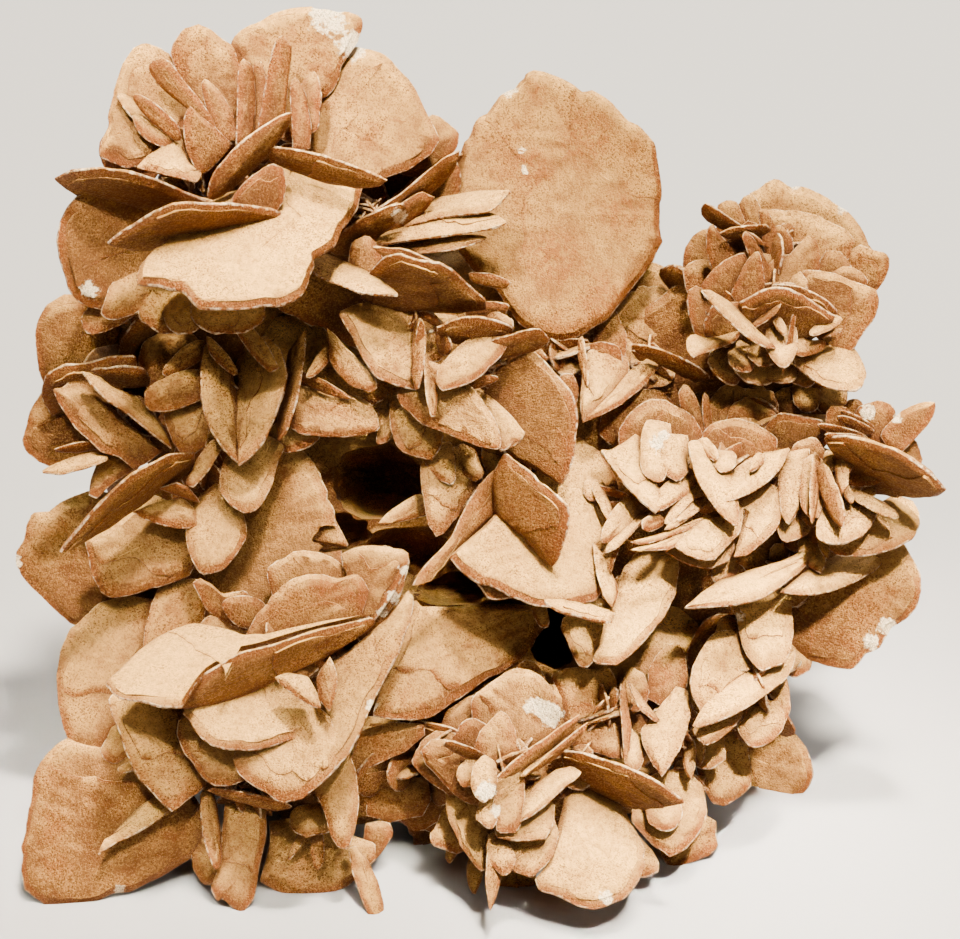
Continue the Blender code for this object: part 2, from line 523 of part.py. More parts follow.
def lump(name, centre, reach, seed, subdivisions=1):
    """An uneven faceted mass; centre and reach are u, v, w in millimetres."""
    chance = random.Random(seed)
    mesh = bmesh.new()
    bmesh.ops.create_icosphere(mesh, subdivisions=subdivisions, radius=1.0)
    for vert in mesh.verts:
        swell = chance.uniform(0.88, 1.12)
        spot = Vector(c + r * p * swell for c, r, p in zip(centre, reach, vert.co))
        vert.co = (SHOW_SIDE @ spot) * MM
    return new_object(name, mesh)


def show_side_crystals():
    made = []
    for number, (ru, rv, rw, tu, tv, tw, width, roll, outline) in enumerate(SHOW_SIDE_CRYSTALS):
        root = SHOW_SIDE @ Vector((ru, rv, rw))
        tip = SHOW_SIDE @ Vector((tu, tv, tw))
        if width * (tip - root).length >= SOLID_AREA:
            made.append(crystal(f"show_{number}", root, tip, width, roll, outline, W_AXIS))
    return made


def far_rosette(number, x, y, z, reach, azimuth, elevation):
    """Crystals that open like petals, the inner ones steep and the outer ones flat."""
    chance = random.Random(SEED + number)
    heart = Vector((x, y, z))
    turn = math.radians(azimuth)
    rise = math.radians(elevation)
    facing = Vector((math.cos(turn) * math.cos(rise), math.sin(turn) * math.cos(rise),
                     math.sin(rise)))
    side = Vector((-math.sin(turn), math.cos(turn), 0.0))
    up = facing.cross(side)
    made = []
    for i in range(FAR_CRYSTALS):
        share = (i + 0.5) / FAR_CRYSTALS
        spin = GOLDEN * i + number
        opening = math.radians(22.0 + 72.0 * share + chance.uniform(-8.0, 8.0))
        length = reach * (0.62 + 0.45 * share) * chance.uniform(0.85, 1.1)
        spoke = side * math.cos(spin) + up * math.sin(spin)
        aim = facing * math.cos(opening) + spoke * math.sin(opening)
        root = heart - facing * 0.12 * reach + spoke * 0.05 * reach
        width = length * chance.uniform(0.75, 1.05)
        roll = chance.uniform(-55.0, 55.0)
        outline = LEAF if i % 3 == 2 else ROUND
        made.append(crystal(f"far_{number}_{i}", root, root + aim * length, width, roll,
                            outline, facing))
    return made


def feet():
    made = []
    for number, (rx, ry, rz, tx, ty, tz, width, roll) in enumerate(FEET):
        root = Vector((rx, ry, rz))
        outward = Vector((0.0, math.copysign(1.0, ty), 0.0))
        made.append(crystal(f"foot_{number}", root, Vector((tx, ty, tz)), width, roll, DISC,
                            outward))
    return made


def inner_masses():
    made = []
    for number, (u, v, w, *reach) in enumerate(TRUNKS):
        made.append(lump(f"trunk_{number}", (u, v, w), reach, SEED + number, subdivisions=2))
    for number, (u, v, w, radius) in enumerate(HEARTS):
        made.append(lump(f"heart_{number}", (u, v, w), (radius, radius, 0.8 * radius), number))
    for number, (ru, rv, rw, tu, tv, tw, width, roll) in enumerate(TIES):
        root = SHOW_SIDE @ Vector((ru, rv, rw))
        tip = SHOW_SIDE @ Vector((tu, tv, tw))
        made.append(crystal(f"tie_{number}", root, tip, width, roll, DISC, W_AXIS,
                            TIE_THICKNESS))
    return made


def united(parts):
    """All the helper solids grown into one mesh."""
    first = parts[0]
    others = bpy.data.collections.new("grown_together")
    for part in parts[1:]:
        others.objects.link(part)
    union = first.modifiers.new("grown_together", "BOOLEAN")
    union.operation = "UNION"
    union.operand_type = "COLLECTION"
    union.collection = others
    union.solver = "EXACT"
    depsgraph = bpy.context.evaluated_depsgraph_get()
    return bpy.data.meshes.new_from_object(first.evaluated_get(depsgraph))


def islands(mesh):
    """The separate closed shells of a bmesh, each a list of faces."""
    left = set(mesh.faces)
    found = []
    while left:
        start = left.pop()
        shell = [start]
        heap = [start]
        while heap:
            face = heap.pop()
            for edge in face.edges:
                for other in edge.link_faces:
                    if other in left:
                        left.remove(other)
                        shell.append(other)
                        heap.append(other)
        found.append(shell)
    return found


def main():
    for obj in list(bpy.data.objects):
        bpy.data.objects.remove(obj)
    parts = inner_masses() + show_side_crystals() + feet()
    for number, rosette in enumerate(FAR_ROSETTES):
        parts += far_rosette(number, *rosette)
    data = united(parts)
    for part in parts:
        bpy.data.objects.remove(part)
    mesh = bmesh.new()
    mesh.from_mesh(data)
    low = REST_LEVEL * MM
    bmesh.ops.bisect_plane(mesh, geom=mesh.verts[:] + mesh.edges[:] + mesh.faces[:],
                           dist=1e-7, plane_co=(0.0, 0.0, low), plane_no=(0.0, 0.0, 1.0),
                           clear_inner=True)
    open_edges = [edge for edge in mesh.edges if edge.is_boundary]
    bmesh.ops.holes_fill(mesh, edges=open_edges, sides=0)
    bmesh.ops.remove_doubles(mesh, verts=mesh.verts, dist=1e-6)
    shells = sorted(islands(mesh), key=len)
    for shell in shells[:-1]:
        bmesh.ops.delete(mesh, geom=shell, context="FACES")
    bmesh.ops.recalc_face_normals(mesh, faces=mesh.faces)
    xs = [vert.co.x for vert in mesh.verts]
    ys = [vert.co.y for vert in mesh.verts]
    shift = Vector((0.5 * (min(xs) + max(xs)), 0.5 * (min(ys) + max(ys)), low))
    bmesh.ops.translate(mesh, verts=mesh.verts, vec=-shift)
    mesh.to_mesh(data)
    mesh.free()
    data.name = NODE
    stone = bpy.data.objects.new(NODE, data)
    bpy.context.scene.collection.objects.link(stone)
    finish = bpy.data.materials.new("sandy_gypsum")
    finish.use_nodes = True
    surface = finish.node_tree.nodes["Principled BSDF"]
    surface.inputs["Base Color"].default_value = (0.60, 0.39, 0.22, 1.0)
    surface.inputs["Roughness"].default_value = 0.85
    surface.inputs["Metallic"].default_value = 0.0
    data.materials.append(finish)
    print(NODE, len(data.polygons), "faces, shift", [round(c, 4) for c in shift])


main()
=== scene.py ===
# %% [markdown]
# # A gypsum sand rose
# A sand rose is a cluster of flat, lens-shaped gypsum crystals that grew in wet desert sand and took the
# sand into themselves.  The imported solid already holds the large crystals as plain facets.  This lesson
# draws the same crystals again, as thin plates with worn rims, growth layers and nicks, fills the hearts
# of the rosettes with small ones, and gives them one sandy finish made of shader noise.

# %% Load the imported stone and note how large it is
import math
import random

import bmesh
import bpy
import numpy as np
from mathutils import Matrix, Vector


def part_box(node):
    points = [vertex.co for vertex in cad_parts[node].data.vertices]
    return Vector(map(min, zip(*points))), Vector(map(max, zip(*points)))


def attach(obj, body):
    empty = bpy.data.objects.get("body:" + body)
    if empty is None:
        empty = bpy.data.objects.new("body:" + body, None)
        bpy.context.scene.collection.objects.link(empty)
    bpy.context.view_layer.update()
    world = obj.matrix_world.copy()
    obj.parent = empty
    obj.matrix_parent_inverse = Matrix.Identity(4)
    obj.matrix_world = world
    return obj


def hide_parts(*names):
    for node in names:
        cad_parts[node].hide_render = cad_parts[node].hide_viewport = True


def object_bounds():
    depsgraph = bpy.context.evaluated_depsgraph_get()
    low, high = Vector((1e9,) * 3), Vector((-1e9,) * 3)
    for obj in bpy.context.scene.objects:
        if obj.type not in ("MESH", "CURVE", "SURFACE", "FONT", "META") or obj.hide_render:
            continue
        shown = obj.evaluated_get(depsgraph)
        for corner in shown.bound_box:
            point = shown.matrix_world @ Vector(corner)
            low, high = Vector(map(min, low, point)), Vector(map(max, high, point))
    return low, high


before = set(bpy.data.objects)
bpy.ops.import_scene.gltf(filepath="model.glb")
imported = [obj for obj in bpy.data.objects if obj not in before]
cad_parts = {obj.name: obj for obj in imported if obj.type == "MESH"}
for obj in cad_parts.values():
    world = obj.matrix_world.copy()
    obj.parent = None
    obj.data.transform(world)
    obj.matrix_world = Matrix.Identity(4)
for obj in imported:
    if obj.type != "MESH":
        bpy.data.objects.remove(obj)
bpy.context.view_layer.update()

solid_low, solid_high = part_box("sand_rose")
print("the packed stone fills", [round(1000 * s) for s in solid_high - solid_low], "mm")

# %% [markdown]
# ## The show side's own axes
# The stone leans back, so its crystals are easier to place on the leaning show side than in upright axes.
# u runs across it, v up its slope and w out of it, in millimetres.  One matrix turns such a place into
# the row's axes, and one shift moves the origin under the stone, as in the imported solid.

# %% Axes of the show side
MM = 0.001
SLOPE = math.radians(30.0)
REST_LEVEL = -186.0
ORIGIN = Vector((-1.5, -3.4, REST_LEVEL))
GOLDEN = math.radians(137.5)
SEED = 7

U_AXIS = Vector((1.0, 0.0, 0.0))
V_AXIS = Vector((0.0, math.sin(SLOPE), math.cos(SLOPE)))
W_AXIS = Vector((0.0, -math.cos(SLOPE), math.sin(SLOPE)))
SHOW_SIDE = Matrix((U_AXIS, V_AXIS, W_AXIS)).transposed()
print("out of the show side is", [round(c, 2) for c in W_AXIS])


def frame_along(direction, roll, outward):
    """Axes of a crystal: along its length, across its width, out of its face."""
    along = direction.normalized()
    level = outward - along * outward.dot(along)
    level.normalize()
    right = along.cross(level)
    turn = math.radians(roll)
    face = level * math.cos(turn) + right * math.sin(turn)
    across = right * math.cos(turn) - level * math.sin(turn)
    return along, across, face

# %% [markdown]
# ## Outlines
# Seen flat, the crystals are round plates, blunt leaves, squared plates, long lenses and broad discs.
# One rule with four numbers makes them all: how the tip closes (exponent and power), where the crystal
# is widest, and how much of its width is left at the root, where it sinks into the heart.

# %% Outlines of the crystals
ROUND = (2.0, 0.5, 0.52, 0.55)
LEAF = (1.8, 0.70, 0.45, 0.50)
PLATE = (4.5, 0.6, 0.55, 0.80)
LENS = (2.0, 0.62, 0.50, 0.0)
DISC = (2.2, 0.5, 0.56, 0.42)


def half_width(outline, x):
    """Half the width at x, 0 at the root to 1 at the tip, as a share of its largest."""
    exponent, power, widest, kept = outline
    if x >= widest:
        s = (x - widest) / (1.0 - widest)
        return max(0.0, 1.0 - s ** exponent) ** power
    s = (widest - x) / widest
    if kept == 0.0:
        return max(0.0, 1.0 - s ** exponent) ** power
    return kept + (1.0 - kept) * math.sqrt(1.0 - s * s)


def even_outline(outline, length, width, count):
    """Points evenly spaced round a crystal's edge, in mm from its middle, x along and y across."""
    turns = np.linspace(0.0, 0.5 * math.pi, 60)
    widest = outline[2]
    lower = [widest * (1.0 - math.cos(t)) for t in turns]
    upper = [widest + (1.0 - widest) * math.sin(t) for t in turns[1:]]
    stations = lower + upper
    right = [(x, 0.5 * width * half_width(outline, x)) for x in stations]
    loop = right + [(x, -y) for x, y in reversed(right)] + [right[0]]
    xs = np.array([(x - 0.5) * length for x, _ in loop])
    ys = np.array([y for _, y in loop])
    walked = np.concatenate(([0.0], np.cumsum(np.hypot(np.diff(xs), np.diff(ys)))))
    stops = np.linspace(0.0, walked[-1], count, endpoint=False)
    return np.interp(stops, walked, xs), np.interp(stops, walked, ys), walked[-1]


print("a broad disc is", round(even_outline(DISC, 143, 110, 96)[2]), "mm round its edge")

# %% [markdown]
# ## The crystals of the show side
# Each row is one crystal: its root and its tip (u, v, w), its width, how far it is rolled about its
# length in degrees, and its outline.  Small crystals that cross the large ones are rows of their own,
# because it is their crowding that makes a rosette.

# %% Crystals of the crown on the left
CROWN_LEFT = [
    (-152, 160, 32, -171, 214, 22, 46, 15, ROUND),
    (-158, 158, 33, -191, 161, 28, 24, -10, ROUND),
    (-158, 168, 36, -181, 188, 36, 14, 50, LEAF),
    (-152, 162, 40, -174, 176, 42, 13, 20, LEAF),
    (-131, 164, 45, -165, 204, 50, 17, -20, LEAF),
    (-147, 164, 44, -173, 187, 48, 10, -25, LEAF),
    (-133, 140, 42, -147, 184, 56, 22, 10, LEAF),
    (-140, 143, 48, -172, 153, 50, 30, 35, LEAF),
    (-129, 165, 28, -142, 223, 25, 38, 5, ROUND),
    (-122, 160, 44, -137, 194, 46, 13, 10, LEAF),
    (-122, 128, 30, -213, 145, 60, 60, -68, LEAF),
    (-92, 121, 32, -187, 114, 72, 64, -66, LEAF),
    (-94, 165, 18, -76, 234, 8, 68, 0, ROUND),
    (-110, 160, 42, -99, 219, 48, 13, 25, LEAF),
    (-117, 160, 44, -118, 212, 44, 10, 30, LEAF),
    (-110, 165, 38, -110, 208, 36, 10, -20, LEAF),
    (-90, 162, 40, -92, 203, 38, 13, 15, LEAF),
    (-88, 162, 34, -83, 199, 30, 16, -15, LEAF),
    (-84, 142, 18, -48, 207, 4, 76, 0, ROUND),
    (-40, 148, -6, -13, 178, -10, 26, 0, ROUND),
    (-64, 122, 12, -10, 160, 12, 26, 60, LEAF),
    (-138, 132, 52, -94, 181, 62, 36, 50, LEAF),
    (-106, 160, 48, -46, 144, 66, 32, 62, LEAF),
    (-114, 126, 50, -101, 163, 62, 20, 10, LEAF),
    (-113, 134, 38, -117, 79, 84, 92, 0, ROUND),
    (-150, 132, 22, -204, 88, 40, 62, -25, ROUND),
    (-158, 100, 24, -188, 77, 38, 20, 0, ROUND),
    (-165, 92, 16, -199, 70, 28, 18, 0, ROUND),
    (-150, 100, 20, -161, 66, 34, 30, -10, ROUND),
    (-135, 98, 22, -151, 67, 38, 28, 15, ROUND),
    (-124, 100, 22, -127, 66, 42, 42, 0, ROUND),
]
print(len(CROWN_LEFT), "crystals in the crown on the left")

# %% Crystals of the left side
LEFT_SIDE = [
    (-165, 60, -25, -226, 74, -28, 56, 0, ROUND),
    (-168, 44, -8, -221, 42, 8, 32, -45, LEAF),
    (-165, 46, 0, -200, 48, 6, 22, -60, LEAF),
    (-162, 8, 0, -215, 43, 12, 36, 15, LEAF),
    (-150, 6, 12, -201, 50, 20, 34, 55, LEAF),
    (-180, 20, -15, -231, 16, -12, 36, 0, ROUND),
    (-188, 13, 2, -215, 10, 10, 9, -55, LEAF),
    (-186, 8, 5, -222, -3, 15, 11, 45, LEAF),
    (-172, 2, -6, -197, -14, 2, 22, 10, ROUND),
    (-165, -36, -28, -234, -42, -22, 64, 0, ROUND),
    (-175, -62, -15, -197, -143, 2, 52, 0, ROUND),
    (-138, -52, -12, -172, -92, 0, 32, 0, ROUND),
]
MIDDLE_LEFT = [
    (-140, 55, -12, -174, 52, -6, 34, 0, ROUND),
    (-136, 64, 2, -161, 47, 10, 11, 0, LEAF),
    (-134, 46, 4, -170, 33, 14, 18, 0, ROUND),
    (-146, 42, -2, -151, 2, 8, 26, 0, ROUND),
    (-138, 68, 2, -124, -2, 34, 34, -38, LEAF),
    (-104, 68, 2, -118, -2, 34, 36, 40, LEAF),
    (-138, 66, 12, -120, 46, 22, 7, 0, LEAF),
    (-121, 74, 14, -99, 46, 26, 10, 0, LEAF),
    (-90, 70, 2, -100, 12, 20, 18, 55, LEAF),
    (-100, 42, 0, -50, 22, 12, 32, -10, ROUND),
    (-92, 48, 6, -63, 35, 14, 8, 40, LEAF),
    (-96, 26, -4, -92, 9, 2, 30, 0, ROUND),
    (-130, 16, 10, -148, -12, 20, 10, 30, LEAF),
    (-138, 8, 6, -211, -44, 40, 44, -72, LEAF),
    (-148, -22, -6, -193, -60, 4, 52, 0, ROUND),
    (-138, -26, 8, -177, -21, 22, 15, 20, LEAF),
    (-138, -16, 10, -164, -9, 20, 7, -40, LEAF),
    (-130, -4, 0, -137, -54, 18, 38, 0, LEAF),
    (-103, 20, 0, -120, -23, 20, 30, 10, LEAF),
    (-110, 0, -20, -64, -38, -6, 34, 0, ROUND),
    (-140, -4, -36, -176, -14, -32, 32, 0, ROUND),
]
print(len(LEFT_SIDE) + len(MIDDLE_LEFT), "crystals on the left side")

# %% Crystals of the lower left and its foot
LOWER_LEFT = [
    (-45, -72, 30, -187, -110, 60, 66, 50, LENS),
    (-96, -98, 22, -70, -49, 22, 54, 0, ROUND),
    (-90, -78, 8, -92, -39, 6, 46, 0, ROUND),
    (-70, -84, 5, -40, -36, 2, 30, 0, ROUND),
    (-94, -152, 38, -32, -56, 24, 46, -32, LENS),
    (-88, -110, 30, -99, -166, 52, 60, 12, LEAF),
    (-108, -104, 24, -117, -139, 51, 66, 0, ROUND),
    (-98, -98, 48, -79, -121, 60, 17, -20, LEAF),
    (-78, -92, 44, -73, -119, 52, 9, 20, LEAF),
    (20, -74, -22, -52, -112, 18, 60, 0, ROUND),
    (-172, -100, 6, -146, -184, 30, 44, -30, LEAF),
    (-172, -124, -5, -188, -148, 6, 18, 0, ROUND),
    (-168, -146, 12, -183, -151, 18, 6, 30, LEAF),
    (-122, -126, 22, -142, -157, 32, 32, 0, ROUND),
    (-94, -170, 12, -139, -158, 20, 12, -55, LEAF),
    (-116, -78, 14, -144, -56, 24, 13, 0, LEAF),
    (-116, -84, 12, -145, -85, 24, 22, 0, ROUND),
    (-104, -76, 12, -129, -66, 24, 17, 0, LEAF),
    (-28, -14, -6, -54, -30, 6, 13, 0, LEAF),
]
FOOT_LEFT = [
    (-136, -162, -6, -231, -184, 6, 82, 0, ROUND),
    (-146, -163, 6, -193, -193, 18, 14, 45, LEAF),
    (-138, -158, 4, -131, -202, 16, 14, -50, LEAF),
    (-136, -180, -6, -137, -209, 0, 20, 0, ROUND),
    (-117, -158, 0, -120, -222, 10, 24, 0, LEAF),
    (-124, -186, -12, -131, -219, -6, 18, 0, ROUND),
    (-84, -168, -16, -90, -215, -4, 60, 0, ROUND),
    (-85, -168, 2, -84, -185, 12, 25, 0, ROUND),
    (-87, -179, 0, -97, -197, 6, 6, 40, LEAF),
    (-68, -138, 14, -67, -192, 26, 24, 0, LEAF),
    (-70, -142, 0, -31, -128, 6, 32, 0, ROUND),
    (-62, -172, 0, -50, -227, 12, 17, -20, LEAF),
    (-62, -166, -20, -24, -170, -16, 26, 0, ROUND),
    (-60, -182, -15, -31, -184, -12, 24, 0, ROUND),
    (-82, -180, 0, -81, -203, 5, 7, 0, LEAF),
    (-54, -74, 31, -145, -106, 56, 30, -45, LEAF),
    (-75, -92, 16, -38, -42, 22, 40, -20, LEAF),
]
print(len(LOWER_LEFT) + len(FOOT_LEFT), "crystals on the lower left")

# %% Crystals left of the middle
CENTRE_LEFT = [
    (-88, 106, 22, -38, 86, 46, 28, -55, LENS),
    (-55, 88, 18, -60, 118, 20, 19, 0, ROUND),
    (-60, 106, 12, -21, 104, 22, 20, 50, LEAF),
    (-58, 88, 14, 6, 82, 34, 50, 58, ROUND),
    (-86, 84, 4, -52, 39, 24, 24, 10, LEAF),
    (-74, 62, 6, -87, 45, 16, 7, 0, LEAF),
    (-22, 86, 4, -46, 38, 30, 58, 0, ROUND),
    (-30, 76, 24, -31, 38, 42, 12, 55, LEAF),
    (-26, 58, 30, -23, 24, 48, 10, -50, LEAF),
    (-30, 56, 28, -29, 76, 38, 5, 0, LEAF),
    (-32, 42, 0, -27, 4, 12, 30, 0, ROUND),
    (-42, 38, -6, -51, 11, 6, 13, 0, LEAF),
    (-38, 126, 0, 18, 140, 14, 16, -52, LEAF),
    (-58, 114, 4, 16, 124, 22, 22, -56, PLATE),
    (-74, 108, 8, -35, 134, 22, 22, 55, LEAF),
    (-52, 118, 2, -22, 140, 14, 16, 40, LEAF),
    (-48, 110, 0, 4, 116, 16, 14, -45, LEAF),
    (-6, 98, 0, 18, 92, 8, 8, 30, LEAF),
]
print(len(CENTRE_LEFT), "crystals left of the middle")

# %% The broad disc and the crystals of the middle
BIG_DISC = [
    (38, 60, -16, 34, 203, -36, 110, 0, DISC),
]
CENTRE = [
    (16, 72, 26, -23, 39, 44, 20, 15, LENS),
    (14, 66, 24, -24, 72, 42, 26, -55, LEAF),
    (4, 58, 24, 37, 69, 40, 20, 48, LEAF),
    (-8, 74, 14, 15, 83, 22, 14, 30, LEAF),
    (2, 74, 18, 17, 70, 30, 14, 0, ROUND),
    (-12, 42, 26, 10, 46, 34, 8, 30, LEAF),
    (-34, 52, 28, -13, 44, 42, 13, 0, LEAF),
    (-22, 64, 22, -14, 62, 38, 14, 20, LEAF),
    (-37, 50, 18, 14, 13, 44, 38, 0, ROUND),
    (2, 42, 12, 19, 14, 34, 26, 0, PLATE),
    (-12, 32, 8, 2, 8, 30, 42, 0, ROUND),
    (0, 22, 4, 49, 31, 34, 78, 0, ROUND),
    (24, 56, 0, 34, 57, 6, 9, 0, ROUND),
    (44, 32, -4, 44, 50, 0, 12, 0, ROUND),
    (-18, 8, 2, -13, -10, 12, 18, 0, LEAF),
    (-12, 12, -4, 1, -6, 8, 14, 0, LEAF),
    (-8, 2, 0, -24, -32, 14, 34, 0, ROUND),
    (9, 4, 16, -33, -57, 34, 22, -30, LENS),
    (1, -8, 14, 42, -37, 42, 42, 40, PLATE),
    (50, 24, -18, 10, -66, 36, 96, 0, ROUND),
    (30, -20, -6, -4, -60, 28, 52, 0, ROUND),
    (66, -62, 18, 31, -66, 46, 26, 62, LEAF),
    (57.5, -34, 14, 67.5, -69, 34, 14, -40, LEAF),
    (60, -66, -8, 47, -99, 8, 26, 0, LEAF),
    (28, -64, 0, 33, -80, 6, 8, 0, ROUND),
    (98, -34, -4, 58, -98, 36, 32, 15, LENS),
]
print(len(BIG_DISC) + len(CENTRE), "crystals in the middle")

# %% Crystals of the crown on the right
RIGHT_CROWN = [
    (156, 90, -34, 170, 142, -44, 78, 0, DISC),
    (176, 92, -28, 206, 101, -32, 30, 0, ROUND),
    (170, 92, -20, 185, 109, -22, 13, 0, LEAF),
    (160, 86, -22, 172, 128, -32, 54, 0, ROUND),
    (134, 116, -8, 111, 133, 0, 18, -55, LEAF),
    (132, 108, -18, 123, 136, -20, 18, 0, ROUND),
    (142, 112, -24, 133, 139, -28, 22, 0, ROUND),
    (126, 94, -6, 115, 125, 0, 20, 0, LEAF),
    (128, 100, -26, 103, 108, -28, 34, 0, ROUND),
    (122, 96, -20, 101, 99, -16, 22, 0, ROUND),
    (143, 118, -4, 118, 120, 8, 14, -55, LENS),
    (130, 118, 0, 143, 123, 6, 5, 30, LEAF),
    (130, 119, 2, 143, 113, 10, 6, 30, LEAF),
    (146, 94, 0, 132, 120, 12, 17, 25, LEAF),
    (134, 88, 2, 119, 107, 10, 30, 0, PLATE),
    (132, 82, 10, 140, 111, 14, 15, -10, LEAF),
    (145, 90, 6, 140, 109, 12, 9, 40, LEAF),
    (148, 106, -10, 142, 132, -8, 18, 10, LEAF),
    (154, 106, -12, 150, 125, -10, 12, 0, LEAF),
    (150, 86, -4, 166, 119, -6, 36, 0, LEAF),
    (164, 96, -14, 177, 109, -14, 15, 0, ROUND),
    (154, 84, -6, 201, 78, 6, 44, 0, ROUND),
    (178, 88, -4, 188, 104, -4, 17, 0, ROUND),
    (154, 64, 10, 154, 88, 36, 54, 0, ROUND),
    (160, 70, 4, 164, 93, 26, 36, 0, ROUND),
    (148, 59, 32, 109, 91, 38, 20, 55, LENS),
    (132, 70, 6, 112, 78, 20, 26, 0, ROUND),
    (126, 80, -4, 103, 83, 6, 34, 0, ROUND),
    (134, 68, 8, 102, 60, 26, 21, 35, LEAF),
    (132, 71, 22, 152, 85, 36, 8, -45, LEAF),
    (147, 77, 26, 152, 66, 34, 5, 0, LEAF),
    (152, 48, 22, 157, 79, 36, 11, 25, LENS),
    (149, 78, 16, 151, 50, 36, 18, 0, LEAF),
    (180, 77, 16, 163, 66, 30, 8, 30, LEAF),
    (168, 67, 16, 182, 70, 24, 5, -40, LEAF),
    (170, 67, 10, 158, 57, 26, 16, 0, ROUND),
    (178, 62, 0, 174, 40, 22, 40, 0, ROUND),
    (136, 63, 6, 127, 50, 16, 17, 0, ROUND),
    (142, 65, 8, 141, 51, 18, 16, 0, ROUND),
    (130, 58, -10, 118, 47, 2, 24, 0, ROUND),
    (140, 58, -6, 138, 42, 8, 24, 0, ROUND),
    (151, 54, -2, 151, 43, 8, 18, 0, ROUND),
    (162, 54, -4, 163, 41, 4, 14, 0, ROUND),
]
BEHIND_RIGHT = [
    (86, 54, -40, 84, 95, -44, 46, 0, ROUND),
    (66, 52, -30, 66, 84, -34, 18, 0, ROUND),
    (118, 46, -14, 75, 63, 2, 30, -64, LEAF),
    (74, 56, -14, 50, 24, 12, 22, 10, LENS),
    (92, 53, -14, 51, 23, 14, 13, 10, LENS),
    (52, 46, -20, 70, 62, -10, 26, 0, LEAF),
    (50, 68, -14, 54, 41, 4, 6, 40, LEAF),
    (36, 66, -24, 43, 50, -14, 7, 30, LEAF),
    (112, 16, -8, 101, 45, -8, 11, 10, LEAF),
    (116, 14, -8, 113, 41, -8, 6, 30, LEAF),
    (128, 12, -20, 124, 44, -20, 30, 0, ROUND),
    (136, 10, -16, 138, 38, -16, 26, 0, ROUND),
    (158, 6, -16, 159, 30, -2, 36, 0, ROUND),
    (165, 46, -34, 167, 29, -26, 16, 0, ROUND),
    (180, 44, -36, 176, 27, -28, 18, 0, ROUND),
    (112, 26, -26, 178, 26, -20, 24, -20, LEAF),
    (150, 40, -34, 190, 36, -34, 22, 0, ROUND),
    (110, 34, -24, 142, 26, -18, 34, 0, ROUND),
    (130, 40, -42, 170, 43, -40, 26, 0, ROUND),
    (128, -34, -30, 158, -48, -28, 28, 0, ROUND),
]
print(len(RIGHT_CROWN) + len(BEHIND_RIGHT), "crystals in the crown on the right")

# %% Crystals of the right side
RIGHT_MIDDLE = [
    (80, 8, -20, 76, 42, -16, 46, 0, ROUND),
    (90, 0, -4, 91, 37, 0, 50, 0, ROUND),
    (66, 14, 8, 86, -23, 34, 28, -35, LEAF),
    (90, 26, 2, 86, -10, 26, 18, 0, LEAF),
    (98, 18, 10, 97, -6, 22, 16, 0, PLATE),
    (108, 0, 10, 85, -22, 32, 13, 20, LEAF),
    (112, -4, 12, 91, -28, 34, 8, 40, LEAF),
    (112, -16, 20, 97, -26, 36, 5, 30, LEAF),
    (115, -12, 16, 91, -31, 38, 7, 30, LEAF),
    (119, -22, 20, 74, -36, 44, 9, 25, LENS),
    (119, -25, 20, 74, -41, 46, 11, 25, LENS),
    (92, -24, 22, 79, -29, 36, 8, 0, ROUND),
    (90, -18, 10, 60, -41, 36, 13, 35, LENS),
    (86, -12, 4, 60, -36, 26, 16, 0, LEAF),
    (57, -6, 4, 69, -31, 22, 7, -30, LEAF),
    (58, -4, 0, 57, -16, 8, 12, 0, ROUND),
    (58, -9, 4, 77, -14, 12, 5, 30, LEAF),
    (62, -18, 4, 79, -17, 12, 5, 30, LEAF),
    (128, -6, 0, 125, 27, 6, 50, 0, LEAF),
    (109, 16, 18, 127, -28, 42, 21, -30, LEAF),
    (157, 9, 10, 120, -18, 40, 21, 35, LEAF),
    (122, 10, 18, 121, -2, 32, 14, 0, LEAF),
    (110, 16, 18, 119, 4, 30, 7, 0, LEAF),
    (142, 9, 16, 134, -1, 30, 6, 0, LEAF),
    (116, -10, 16, 110, -46, 42, 36, 0, ROUND),
    (118, -12, 6, 110, -51, 32, 46, 0, ROUND),
    (146, 2, 2, 134, -46, 30, 42, 0, ROUND),
    (152, 8, 2, 157, -23, 18, 22, 0, ROUND),
    (159, -16, 0, 154, -37, 14, 20, 0, ROUND),
    (128, -44, 6, 117, -56, 20, 12, 0, ROUND),
    (172, -38, -8, 101, -69, 42, 28, 35, LEAF),
]
